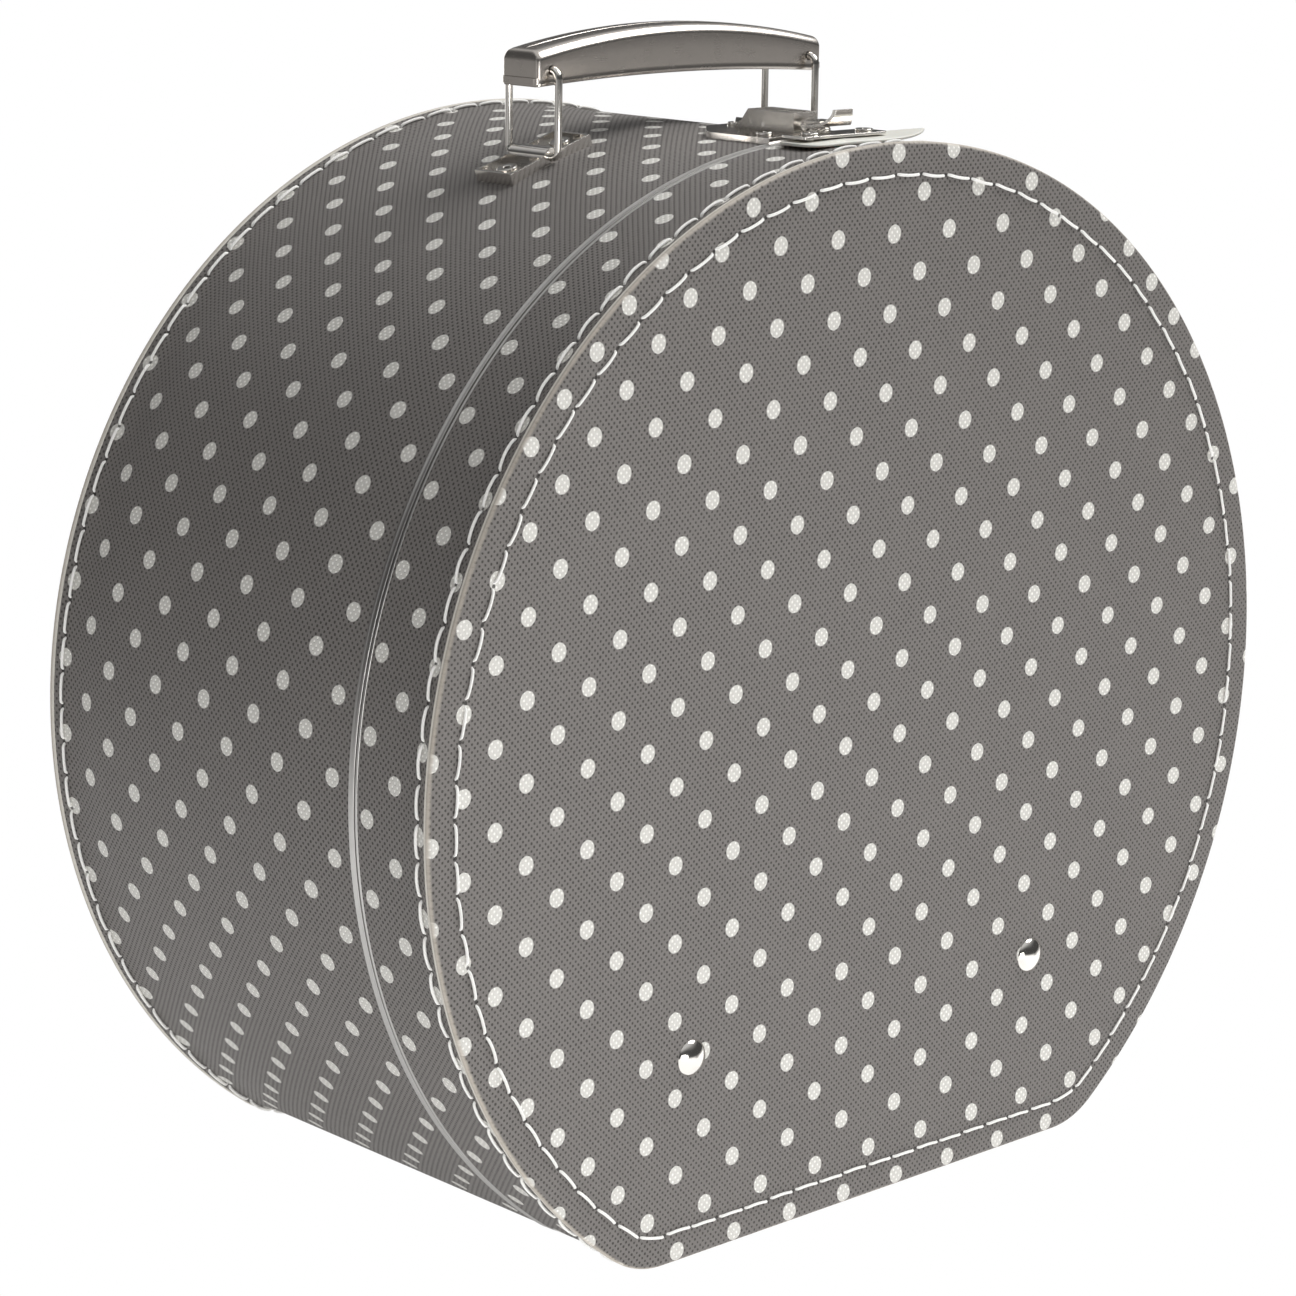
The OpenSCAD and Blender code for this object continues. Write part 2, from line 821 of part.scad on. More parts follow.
module latch_housing() {
    half = housing_w / 2;
    color(satin_steel) difference() {
        union() {
            difference() {
                across(-half, half) housing_side(0);
                across(-half + housing_t, half - housing_t) housing_side(housing_t);
            }
            for (x = [-ear_w / 2, ear_w / 2 - ear_t]) across(x, x + ear_t) {
                translate([lever_y, lever_h]) circle(ear_r);
                translate([lever_y, lever_h - ear_r]) square([housing_front_y - lever_y + 0.3, ear_r + 0.2]);
            }
        }
        drum_rod(plate_h + 0.02, housing_front_y - 0.5, housing_back_y + 20);
        for (x = [-half - 1, half - 2]) across(x, x + 3)
            translate([spring_pin_y, plate_h + spring_pin_h]) circle(spring_pin_r + 0.05);
        rod_x(lever_y, lever_base + lever_h, lever_pin_r + 0.02, -9, 9);
        across(-ear_w / 2 + 0.9, ear_w / 2 - 0.9)
            translate([housing_front_y - 1, plate_h + 0.5]) square([2, 2.2]);
    }
}

module spring_pin() {
    color(nickel)
        rod_x(spring_pin_y, lever_base + plate_h + spring_pin_h, spring_pin_r, -housing_w / 2, housing_w / 2);
}

// Leaf spring from its pin to the front slot of the housing
module latch_spring() {
    color(satin_steel) across(-0.8, 0.8) difference() {
        union() {
            translate([spring_pin_y, plate_h + spring_pin_h]) circle(spring_eye_r);
            polygon([[spring_pin_y, plate_h + 0.5], [spring_pin_y, plate_h + 0.3],
                     [housing_front_y - 0.3, plate_h + 1.1], [housing_front_y - 0.3, plate_h + 1.4]]);
        }
        translate([spring_pin_y, plate_h + spring_pin_h]) circle(spring_pin_r + 0.05);
    }
}

module lever_pin() {
    color(nickel)
        rod_x(lever_y, lever_base + lever_h, lever_pin_r, -lever_arm_w / 2, lever_arm_w / 2);
}

// Curve of the thumb flap, from flat at its root to steep at its tip
flap_steps = 10;
function flap_y(t) = spade_y - tip_reach * sin(90 * t);
function flap_z(t) = spade_z + tip_rise * (1 - cos(90 * t));

module latch_lever() {
    half = lever_arm_w / 2;
    color(satin_steel) difference() {
        union() {
            difference() {
                across(-half, half) {
                    translate([lever_y, lever_h]) circle(cheek_r);
                    translate([arm_end_y, spade_z - spade_t])
                        square([lever_y - arm_end_y, arm_top - spade_z + spade_t]);
                    translate([spade_y, spade_z]) square([lever_y - spade_y - 1, arm_top - spade_z]);
                }
                across(-half + arm_t, half - arm_t)
                    translate([arm_end_y + arm_t, -1]) square([9, arm_top - arm_t + 1]);
            }
            intersection() {
                translate([0, 0, lever_base - 2]) linear_extrude(20)
                    polygon([[-half, arm_end_y], [-spade_w / 2, spade_y + 0.6], [-spade_w / 2, spade_y - 0.4],
                             [-tip_w / 2, spade_y - tip_reach], [-tip_w / 2, spade_y - tip_reach - 2],
                             [tip_w / 2, spade_y - tip_reach - 2], [tip_w / 2, spade_y - tip_reach],
                             [spade_w / 2, spade_y - 0.4], [spade_w / 2, spade_y + 0.6], [half, arm_end_y]]);
                across(-10, 10) polygon(concat(
                    [[arm_end_y, spade_z + spade_t], [arm_end_y, spade_z]],
                    [for (i = [0 : flap_steps]) [flap_y(i / flap_steps), flap_z(i / flap_steps)]],
                    [for (i = [flap_steps : -1 : 0])
                        [flap_y(i / flap_steps) + spade_t * sin(90 * i / flap_steps),
                         flap_z(i / flap_steps) + spade_t * cos(90 * i / flap_steps)]]));
            }
        }
        rod_x(lever_y, lever_base + lever_h, lever_pin_r + 0.05, -9, 9);
    }
}

module latch_rivets() {
    color(nickel) for (p = latch_rivets_at)
        on_wall(p[0], p[1]) tube_rivet(small_r, 0.5, 2.1, plate_h, 0.7, p[1] > seam_y + collar_depth
            ? inside_gap + 0.4 + washer_t : collar_in + collar_t - wall_inset + 0.3 + washer_t);
}

module latch_washers() {
    color(washer_steel) for (p = latch_rivets_at)
        on_wall(p[0], p[1]) ring_washer(3, small_r + rivet_play, p[1] > seam_y + collar_depth
            ? inside_gap + 0.35 : collar_in + collar_t - wall_inset + 0.25, washer_t);
}

// ---------- keeper ----------

pad_t = 1.5;
keeper_t = 0.7;
keeper_len = 9;
keeper_front_y = pad_rear_y - 0.3 - keeper_len;

// Rectangle with round corners, from exact arcs
module round_rect(w, l, r) {
    square([w - 2 * r, l], center = true);
    square([w, l - 2 * r], center = true);
    for (i = [-1, 1], j = [-1, 1]) translate([i * (w / 2 - r), j * (l / 2 - r)]) circle(r);
}

// Flat pad on the lid's crown; it bridges the curve below its ends
module keeper_pad() {
    color(pad_cream) difference() {
        translate([0, pad_rear_y - pad_len / 2, top_z + 0.02]) linear_extrude(pad_t)
            round_rect(pad_w, pad_len, 5);
        keeper_holes();
    }
}

module keeper_plate() {
    notch_w = 3;
    color(steel) difference() {
        translate([0, keeper_front_y + keeper_len / 2, top_z + pad_t + 0.03]) linear_extrude(keeper_t)
            round_rect(keeper_w, keeper_len, 1.5);
        keeper_holes();
        translate([-notch_w / 2, keeper_front_y + keeper_len - 3, top_z]) cube([notch_w, 5, 9]);
    }
}

// Depth below the crown at which a level washer clears the curved lining
keeper_washer_r = 3;
keeper_washer_in = top_z + 0.1
    - surface_z(keeper_rivets_at[1][0] + keeper_washer_r, wall_r - board - lining_t - 0.05);
module keeper_rivets() {
    color(nickel) for (p = keeper_rivets_at) translate([p[0], p[1], top_z])
        tube_rivet(small_r, 0.5, 2.3, pad_t + keeper_t + 0.03, 0.7, keeper_washer_in + 0.05 + washer_t);
}

module keeper_washers() {
    color(washer_steel) for (p = keeper_rivets_at) translate([p[0], p[1], top_z])
        ring_washer(keeper_washer_r, small_r + rivet_play, keeper_washer_in, washer_t);
}

body_wall();
back_panel();
back_corner_strip();
body_edge_rail();
body_collar();
body_wall_lining();
back_panel_lining();
back_face_thread();
body_wall_thread();
back_rivets();
back_rivet_washers();
lid_wall();
front_panel();
front_corner_strip();
lid_edge_rail();
lid_wall_lining();
front_panel_lining();
front_face_thread();
lid_wall_thread();
front_rivets();
front_rivet_washers();
stay_tape_left();
stay_tape_right();
hinge_leaf_body_left();
hinge_leaf_body_right();
hinge_leaf_lid_left();
hinge_leaf_lid_right();
hinge_pin_left();
hinge_pin_right();
hinge_rivets_body();
hinge_rivets_lid();
handle_bracket_left();
handle_bracket_right();
bracket_rivets();
bracket_washers();
bail_left();
bail_right();
handle_shell();
handle_liner();
latch_plate();
latch_housing();
latch_lever();
lever_pin();
spring_pin();
latch_spring();
latch_rivets();
latch_washers();
keeper_plate();
keeper_pad();
keeper_rivets();
keeper_washers();
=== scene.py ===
"""Looks of the dotted hat box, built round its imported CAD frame.

Lengths in this file are in millimetres unless a name says otherwise; pieces are made in metres.
X runs across the front, -Y is the front face, Z is up.
"""
import json
import math

import bmesh
import bpy
import numpy as np
from mathutils import Matrix, Vector

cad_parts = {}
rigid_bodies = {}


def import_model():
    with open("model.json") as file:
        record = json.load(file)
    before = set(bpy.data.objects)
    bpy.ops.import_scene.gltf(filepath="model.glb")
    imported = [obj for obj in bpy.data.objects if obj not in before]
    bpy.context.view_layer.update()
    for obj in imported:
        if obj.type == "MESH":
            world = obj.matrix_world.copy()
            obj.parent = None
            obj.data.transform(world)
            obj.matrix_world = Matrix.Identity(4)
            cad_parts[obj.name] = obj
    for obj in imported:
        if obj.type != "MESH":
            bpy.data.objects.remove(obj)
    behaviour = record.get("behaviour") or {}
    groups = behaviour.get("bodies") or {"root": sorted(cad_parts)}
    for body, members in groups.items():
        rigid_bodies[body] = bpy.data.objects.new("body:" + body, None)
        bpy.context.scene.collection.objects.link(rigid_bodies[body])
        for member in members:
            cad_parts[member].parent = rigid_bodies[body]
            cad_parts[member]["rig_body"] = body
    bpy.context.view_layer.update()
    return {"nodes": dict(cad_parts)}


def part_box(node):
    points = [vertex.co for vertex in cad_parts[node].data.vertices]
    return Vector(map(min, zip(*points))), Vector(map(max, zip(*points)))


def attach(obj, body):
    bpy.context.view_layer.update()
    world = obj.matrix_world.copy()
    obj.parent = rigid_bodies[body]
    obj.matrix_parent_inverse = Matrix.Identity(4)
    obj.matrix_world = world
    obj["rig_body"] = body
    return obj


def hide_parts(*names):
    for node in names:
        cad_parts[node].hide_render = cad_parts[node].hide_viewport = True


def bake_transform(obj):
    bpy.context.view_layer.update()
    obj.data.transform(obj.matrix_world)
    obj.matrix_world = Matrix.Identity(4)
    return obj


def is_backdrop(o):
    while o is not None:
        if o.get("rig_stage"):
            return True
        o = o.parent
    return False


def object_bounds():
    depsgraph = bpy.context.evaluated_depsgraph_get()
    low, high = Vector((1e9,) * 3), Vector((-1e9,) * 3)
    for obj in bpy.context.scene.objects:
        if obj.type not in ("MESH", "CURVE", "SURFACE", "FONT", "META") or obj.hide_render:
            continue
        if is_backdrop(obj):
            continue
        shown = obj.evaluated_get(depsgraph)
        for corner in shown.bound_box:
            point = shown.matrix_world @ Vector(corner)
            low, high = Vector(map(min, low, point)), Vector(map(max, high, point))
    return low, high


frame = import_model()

MM = 0.001
rng = np.random.default_rng(20)


def box(node):
    """Lowest and highest corner of a CAD node, in millimetres."""
    lo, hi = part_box(node)
    return np.array(lo) / MM, np.array(hi) / MM


# ---------- places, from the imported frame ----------

body_lo, body_hi = box("body_wall")
RADIUS = round(body_hi[0] - body_lo[0]) / 2
AXIS_Z = round(2 * (body_hi[2] - RADIUS)) / 2
BACK_Y = round(2 * body_hi[1]) / 2
FRONT_Y = round(2 * box("lid_wall")[0][1]) / 2
BODY_EDGE_Y = box("body_edge_rail")[0][1]
LID_EDGE_Y = box("lid_edge_rail")[1][1]
BODY_RAIL_W = 2.2       # width of the rail's visible strip
LID_RAIL_W = 0.8
CORNER_R = 26.0         # between the drum and the flat base
WALL_IN = 1.5           # how far the walls lie in from the rim
BOARD = 2.0             # thickness of the walls
FACE_STITCH_IN = 8.0    # stitch lines, from the rim of the face and from the end of the wall
WALL_STITCH_IN = 5.0
STITCH = 9.2            # length of one stitch with its gap

# half of the outline: an arc of the drum (DRUM_S long), a corner (CORNER_S) and half of the base (CORNER_X)
CORNER_X = math.sqrt((RADIUS - CORNER_R) ** 2 - (AXIS_Z - CORNER_R) ** 2)
DRUM_TURN = math.atan2(CORNER_X, CORNER_R - AXIS_Z)
DRUM_S = RADIUS * DRUM_TURN
CORNER_S = CORNER_R * (math.pi - DRUM_TURN)
HALF_S = DRUM_S + CORNER_S + CORNER_X


def outline(s, inset):
    """Points of the drum's outline, drawn in by inset, and its outward normals.

    s is the distance along the rim from the crown, positive towards -X. Returns x, z, nx, nz."""
    s, inset = np.broadcast_arrays(np.asarray(s, float), np.asarray(inset, float))
    a = np.abs(s)
    side = np.where(s > 0, -1.0, 1.0)
    turn = np.where(a <= DRUM_S, a / RADIUS, np.minimum(DRUM_TURN + (a - DRUM_S) / CORNER_R, math.pi))
    nx, nz = side * np.sin(turn), np.cos(turn)
    drum = a <= DRUM_S
    r = np.where(drum, RADIUS, CORNER_R) - inset
    x = np.where(drum, 0, side * CORNER_X) + r * nx
    z = np.where(drum, AXIS_Z, CORNER_R) + r * nz
    base = a > DRUM_S + CORNER_S
    return np.where(base, side * (HALF_S - a), x), np.where(base, inset, z), nx, nz


def run_length(s, inset):
    """Distance from the crown along the outline that is drawn in by inset."""
    a = np.abs(s)
    drum = np.minimum(a, DRUM_S) * (RADIUS - inset) / RADIUS
    corner = np.clip(a - DRUM_S, 0, CORNER_S) * (CORNER_R - inset) / CORNER_R
    return np.sign(s) * (drum + corner + np.maximum(a - DRUM_S - CORNER_S, 0))


def half_samples(step):
    """Distances from the crown to the middle of the base, closer together round the corner."""
    drum = np.linspace(0, DRUM_S, round(DRUM_S / step) + 1)
    corner = DRUM_S + np.linspace(0, CORNER_S, 19)[1:]
    base = DRUM_S + CORNER_S + np.linspace(0, CORNER_X, 25)[1:]
    return np.concatenate([drum, corner, base])


half_ring = half_samples(2.0)
RING = np.concatenate([-half_ring[:0:-1], half_ring])


# ---------- making pieces ----------

def piece(name, verts, faces, material, body=None, slot=None, replaces=(), uvs=None, sharp=32, weld=False):
    """A mesh object from points in millimetres. uvs is {layer name: per-vertex array}.

    weld joins the two ends of a run that goes once round the outline."""
    mesh = bpy.data.meshes.new(name)
    mesh.from_pydata((np.asarray(verts, float) * MM).tolist(), [], [tuple(int(i) for i in f) for f in faces])
    corners = np.zeros(len(mesh.loops), np.int32)
    mesh.loops.foreach_get("vertex_index", corners)
    for layer, values in (uvs or {}).items():
        uv = mesh.uv_layers.new(name=layer)
        uv.data.foreach_set("uv", np.asarray(values, np.float32)[corners].ravel())
    if weld:
        bm = bmesh.new()
        bm.from_mesh(mesh)
        bmesh.ops.remove_doubles(bm, verts=bm.verts, dist=1e-6)
        bm.to_mesh(mesh)
        bm.free()
    mesh.polygons.foreach_set("use_smooth", [True] * len(mesh.polygons))
    mesh.update()
    obj = bpy.data.objects.new(name, mesh)
    bpy.context.scene.collection.objects.link(obj)
    mesh.materials.append(material)
    if sharp:
        mesh.set_sharp_from_angle(angle=math.radians(sharp))
    if replaces:
        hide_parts(*replaces)
    if body:
        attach(obj, body)
    return obj


def outward(obj):
    """Turns every face of a closed mesh to look outwards."""
    bm = bmesh.new()
    bm.from_mesh(obj.data)
    bmesh.ops.recalc_face_normals(bm, faces=bm.faces)
    bm.to_mesh(obj.data)
    bm.free()
    return obj


def grid_faces(rows, cols, wrap_rows=False, wrap_cols=False, offset=0):
    """Quads of a grid of points stored row by row."""
    r = np.arange(rows if wrap_rows else rows - 1)
    c = np.arange(cols if wrap_cols else cols - 1)
    r, c = np.meshgrid(r, c, indexing="ij")
    r2, c2 = (r + 1) % rows, (c + 1) % cols
    f = np.stack([r * cols + c, r * cols + c2, r2 * cols + c2, r2 * cols + c], -1)
    return (f.reshape(-1, 4) + offset).tolist()


def swept(name, s, profile, material, round_trip=False, **kw):
    """A closed profile of (inset, y) points swept along the outline at the distances s."""
    prof = np.asarray(profile, float)
    n = len(prof)
    x, z, nx, nz = outline(np.asarray(s)[:, None], prof[None, :, 0])
    y = np.broadcast_to(prof[None, :, 1], x.shape)
    verts = np.stack([x, y, z], -1).reshape(-1, 3)
    faces = grid_faces(len(s), n, wrap_cols=True)
    if not round_trip:
        faces += [list(range(n)), list(range((len(s) - 1) * n, len(s) * n))[::-1]]
    around = np.concatenate([[0], np.cumsum(np.hypot(*np.diff(prof, axis=0).T))])
    uv = np.stack(np.broadcast_arrays(np.asarray(s)[:, None] / 10, around[None, :] / 10), -1).reshape(-1, 2)
    return outward(piece(name, verts, faces, material, uvs={"run": uv}, weld=round_trip, **kw))


def tube_points(path, radius, sides, closed=False):
    """Rings of points round a path, with frames carried along it."""
    path = np.asarray(path, float)
    n = len(path)
    nxt = np.roll(path, -1, 0) if closed else np.vstack([path[1:], 2 * path[-1] - path[-2]])
    prv = np.roll(path, 1, 0) if closed else np.vstack([2 * path[0] - path[1], path[:-1]])
    tangent = nxt - prv
    tangent /= np.linalg.norm(tangent, axis=1)[:, None]
    up = np.cross(tangent[0], [0.31, 0.52, 0.79])
    normals = []
    for t in tangent:
        up = up - t * (up @ t)
        up = up / np.linalg.norm(up)
        normals.append(up)
    normals = np.array(normals)
    side = np.cross(tangent, normals)
    a = np.arange(sides) * 2 * math.pi / sides
    radius = np.broadcast_to(np.asarray(radius, float), (n,))
    ring = np.cos(a)[None, :, None] * normals[:, None] + np.sin(a)[None, :, None] * side[:, None]
    return path[:, None] + radius[:, None, None] * ring


def soften(node, width, material, shift=0.0):
    """A copy of a CAD node's mesh with rounded edges of the given width, which stands for the node.

    shift moves it along Y, onto the dished ends."""
    src = frame["nodes"][node]
    mesh = src.data.copy()
    mesh.materials.clear()
    obj = bpy.data.objects.new(node + "_finished", mesh)
    bpy.context.scene.collection.objects.link(obj)
    bm = bmesh.new()
    bm.from_mesh(mesh)
    bmesh.ops.translate(bm, verts=bm.verts, vec=(0, shift * MM, 0))
    bmesh.ops.remove_doubles(bm, verts=bm.verts, dist=3e-6)
    bmesh.ops.dissolve_limit(bm, angle_limit=math.radians(1.5), verts=bm.verts, edges=bm.edges)
    bmesh.ops.recalc_face_normals(bm, faces=bm.faces)
    for f in bm.faces:
        f.smooth = True
    bm.to_mesh(mesh)
    bm.free()
    if "custom_normal" in mesh.attributes:
        mesh.attributes.remove(mesh.attributes["custom_normal"])
    mesh.materials.append(material)
    bevel = obj.modifiers.new("edges", "BEVEL")
    bevel.width = width * MM
    bevel.segments = 2
    bevel.limit_method = "ANGLE"
    bevel.angle_limit = math.radians(30)
    bevel.harden_normals = True
    bevel.use_clamp_overlap = True
    mesh.set_sharp_from_angle(angle=math.radians(40))
    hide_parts(node)
    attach(obj, src["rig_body"])
    return obj


# ---------- materials ----------

class Shader:
    """A material whose nodes are added by short calls."""

    def __init__(self, name, **sockets):
        self.material = bpy.data.materials.new(name)
        self.material.use_nodes = True
        self.nodes = self.material.node_tree.nodes
        self.links = self.material.node_tree.links
        self.bsdf = next(n for n in self.nodes if n.type == "BSDF_PRINCIPLED")
        for k, v in sockets.items():
            self.bsdf.inputs[k.replace("_", " ")].default_value = (*v, 1) if isinstance(v, tuple) else v
        self.coords = {}

    def put(self, socket, value):
        if hasattr(value, "is_output"):
            self.links.new(value, socket)
        elif isinstance(value, tuple) and socket.type == "RGBA":
            socket.default_value = (*value, 1)
        else:
            socket.default_value = value

    def set(self, **sockets):
        for k, v in sockets.items():
            self.put(self.bsdf.inputs[k.replace("_", " ")], v)

    def uv(self, layer):
        if layer not in self.coords:
            n = self.nodes.new("ShaderNodeUVMap")
            n.uv_map = layer
            self.coords[layer] = n.outputs["UV"]
        return self.coords[layer]

    def place(self):
        """Object coordinates, in millimetres."""
        if "object" not in self.coords:
            n = self.nodes.new("ShaderNodeTexCoord")
            self.coords["object"] = self.vector("SCALE", n.outputs["Object"], scale=1 / MM)
        return self.coords["object"]

    def split(self, vector):
        n = self.nodes.new("ShaderNodeSeparateXYZ")
        self.put(n.inputs[0], vector)
        return n.outputs

    def join(self, x, y, z=0.0):
        n = self.nodes.new("ShaderNodeCombineXYZ")
        for i, v in enumerate((x, y, z)):
            self.put(n.inputs[i], v)
        return n.outputs[0]

    def vector(self, operation, *values, scale=None):
        n = self.nodes.new("ShaderNodeVectorMath")
        n.operation = operation
        for i, v in enumerate(values):
            self.put(n.inputs[i], v)
        if scale is not None:
            self.put(n.inputs["Scale"], scale)
        return n.outputs["Value"] if operation in ("LENGTH", "DISTANCE", "DOT_PRODUCT") else n.outputs[0]

    def math(self, operation, *values, clamp=False):
        n = self.nodes.new("ShaderNodeMath")
        n.operation = operation
        n.use_clamp = clamp
        for i, v in enumerate(values):
            self.put(n.inputs[i], v)
        return n.outputs[0]

    def step(self, value, low, high, a=0.0, b=1.0):
        """a below low, b above high, and a smooth step between them."""
        n = self.nodes.new("ShaderNodeMapRange")
        n.interpolation_type = "SMOOTHSTEP"
        for k, v in (("Value", value), ("From Min", low), ("From Max", high), ("To Min", a), ("To Max", b)):
            self.put(n.inputs[k], v)
        return n.outputs["Result"]

    def noise(self, vector, scale, detail=3.0, roughness=0.55):
        n = self.nodes.new("ShaderNodeTexNoise")
        for k, v in (("Vector", vector), ("Scale", scale), ("Detail", detail), ("Roughness", roughness)):
            self.put(n.inputs[k], v)
        return n.outputs["Fac"]

    def mix(self, factor, a, b):
        n = self.nodes.new("ShaderNodeMix")
        n.data_type = "RGBA"
        self.put(n.inputs["Factor"], factor)
        self.put(n.inputs[6], a)
        self.put(n.inputs[7], b)
        return n.outputs[2]

    def bump(self, height, depth, strength=1.0):
        """Relief of height 0 to 1 that is depth millimetres deep."""
        n = self.nodes.new("ShaderNodeBump")
        self.put(n.inputs["Strength"], strength)
        self.put(n.inputs["Distance"], depth * MM)
        self.put(n.inputs["Height"], height)
        self.put(self.bsdf.inputs["Normal"], n.outputs[0])


# the lattice layer of the paper is in centimetres
DOT_R = 0.236
WEAVE_U, WEAVE_V = (per_mm * 10 * 2 * math.pi for per_mm in (0.549, 0.528))


def dotted_paper(name, hole_in):
    """Embossed grey paper with a staggered print of small light dots.

    The layer "lattice" is in centimetres from one dot's centre. The layer "edge" holds the number of the
    stitch and the distance from the rim in centimetres; needle holes lie hole_in from the rim."""
    m = Shader(name, Roughness=0.62, Specular_IOR_Level=0.35)
    uv = m.uv("lattice")
    u, v, _ = m.split(uv)
    soft = m.noise(uv, 0.35, 2.0)
    grain = m.noise(uv, 55.0, 3.0, 0.6)
    irregular = m.noise(uv, 7.0, 2.0)
    weave = m.math("MULTIPLY", m.math("COSINE", m.math("MULTIPLY", u, WEAVE_U)),
                   m.math("COSINE", m.math("MULTIPLY", v, WEAVE_V)))
    weave = m.math("ADD", weave, m.math("MULTIPLY_ADD", irregular, 0.9, -0.45))
    pit = m.step(weave, 0.18, 0.80)
    near = [m.vector("WRAP", m.vector("ADD", uv, (o, o, 0.0)), (1.0, 1.0, 1.0), (-1.0, -1.0, -1.0))
            for o in (0.0, 1.0)]
    distance = m.math("MINIMUM", *[m.vector("LENGTH", v) for v in near])
    wobble = m.math("MULTIPLY_ADD", weave, 0.006, m.math("MULTIPLY_ADD", grain, 0.03, -0.015))
    ink = m.step(m.math("ADD", distance, wobble), DOT_R - 0.012, DOT_R + 0.012, 1.0, 0.0)
    grain_up = m.math("MULTIPLY_ADD", grain, 0.9, -0.2, clamp=True)
    # painted shade: the grey paper is coloured much darker in the pits of the emboss, where shade falls
    grey = m.mix(grain_up, m.mix(pit, (0.165, 0.154, 0.145), (0.048, 0.043, 0.040)),
                 m.mix(pit, (0.225, 0.210, 0.199), (0.080, 0.073, 0.068)))
    grey = m.mix(m.step(soft, 0.4, 0.75, 0.0, 0.08), grey, (0.24, 0.225, 0.21))
    light = m.mix(m.math("MULTIPLY_ADD", pit, 0.8, m.math("MULTIPLY", grain, 0.3), clamp=True),
                  (0.58, 0.565, 0.53), (0.93, 0.915, 0.87))
    colour = m.mix(ink, grey, light)
    # painted warm reflection on the rounded shoulder along the rim, paper stretched flat there, and the
    # needle holes of the stitch line
    e = m.split(m.uv("edge"))
    uneven = m.math("MULTIPLY_ADD", soft, 0.05, m.math("MULTIPLY_ADD", irregular, 0.03, -0.04))
    rim = m.math("ADD", e[1], uneven)
    # painted reflection: a warm beige band along the rounded shoulder at the rim; the same mask flattens the
    # emboss there
    rim_sheen_and_stretch = m.step(rim, -0.01, 0.08, 0.9, 0.0)
    colour = m.mix(rim_sheen_and_stretch, colour, m.mix(grain, (0.42, 0.37, 0.31), (0.66, 0.61, 0.54)))
    along = m.math("ABSOLUTE", m.math("SUBTRACT", e[0], m.math("ROUND", e[0])))
    across = m.math("SUBTRACT", e[1], hole_in / 10)
    hole = m.vector("LENGTH", m.join(m.math("MULTIPLY", along, STITCH / 10), across))
    hole = m.step(m.math("ADD", hole, m.math("MULTIPLY_ADD", grain, 0.02, -0.01)), 0.035, 0.06, 1.0, 0.0)
    # painted shade: the needle holes are coloured near-black, and the bump below presses them in
    colour = m.mix(m.math("MULTIPLY", hole, 0.8), colour, (0.02, 0.018, 0.016))
    m.set(Base_Color=colour,
          Roughness=m.math("MULTIPLY_ADD", pit, 0.12, m.math("MULTIPLY_ADD", ink, -0.08, 0.56)))
    height = m.math("SUBTRACT", m.math("MULTIPLY_ADD", grain, 0.22, 1.0),
                    m.math("MULTIPLY", pit, m.math("SUBTRACT", 1.0, m.math("MULTIPLY", rim_sheen_and_stretch, 0.9))))
    height = m.math("ADD", height, m.math("MULTIPLY", ink, 0.12))
    m.bump(m.math("SUBTRACT", height, m.math("MULTIPLY", hole, 2.0)), 0.15, 1.0)
    return m.material


def fibre_board(name, low, high, scale=6.0, depth=0.08, roughness=0.85):
    """Board or paper with a faint fibre: low and high are its two colours."""
    m = Shader(name, Specular_IOR_Level=0.25)
    p = m.place()
    cloud = m.noise(p, 0.05 * scale, 4.0)
    fibre = m.noise(m.vector("MULTIPLY", p, (1.0, 0.35, 1.0)), 0.6 * scale, 4.0, 0.7)
    shade = m.math("MULTIPLY_ADD", fibre, 0.6, m.math("MULTIPLY", cloud, 0.5), clamp=True)
    m.set(Base_Color=m.mix(shade, low, high), Roughness=m.math("MULTIPLY_ADD", fibre, 0.1, roughness - 0.05))
    m.bump(fibre, depth, 0.6)
    return m.material


def metal(name, colour, roughness, brushed=None, grime=0.25, bump=0.0):
    """Plated or bare metal: brushed is a scale per axis for fine lines, and grime darkens it in patches.

    bump is the depth of the fine lines."""
    m = Shader(name, Metallic=1.0)
    p = m.place()
    cloud = m.noise(p, 0.22, 4.0)
    fine = m.noise(m.vector("MULTIPLY", p, brushed or (1.0, 1.0, 1.0)), 2.2, 3.0, 0.65)
    dark = tuple(c * 0.72 for c in colour)
    patch = m.math("MULTIPLY", m.step(cloud, 0.45, 0.75), grime)
    lines = m.math("MULTIPLY_ADD", fine, 0.5, -0.1, clamp=True)
    bright = tuple(min(1.0, c * 1.08) for c in colour)
    m.set(Base_Color=m.mix(patch, m.mix(lines, colour, bright), dark),
          Roughness=m.math("MULTIPLY_ADD", fine, 0.06 if brushed else 0.02,
                           m.math("MULTIPLY_ADD", cloud, 0.08, roughness - 0.05), clamp=True))
    if bump:
        m.bump(fine, bump, 0.5)
    return m.material


def twisted_thread(name):
    """White sewing thread: the layer "run" holds the turn round the thread and the length along it."""
    m = Shader(name, Roughness=0.7, Sheen_Weight=0.3, Sheen_Roughness=0.4)
    u, v, _ = m.split(m.uv("run"))
    turns = m.math("ADD", m.math("MULTIPLY", u, 3.0), m.math("MULTIPLY", v, 0.9))
    ply = m.math("SINE", m.math("MULTIPLY", turns, 2 * math.pi))
    fuzz = m.noise(m.place(), 3.0, 3.0)
    shade = m.math("MULTIPLY_ADD", ply, 0.25, m.math("MULTIPLY_ADD", fuzz, 0.5, 0.3), clamp=True)
    m.set(Base_Color=m.mix(shade, (0.84, 0.825, 0.79), (0.97, 0.965, 0.94)))
    m.bump(ply, 0.04, 0.5)
    return m.material


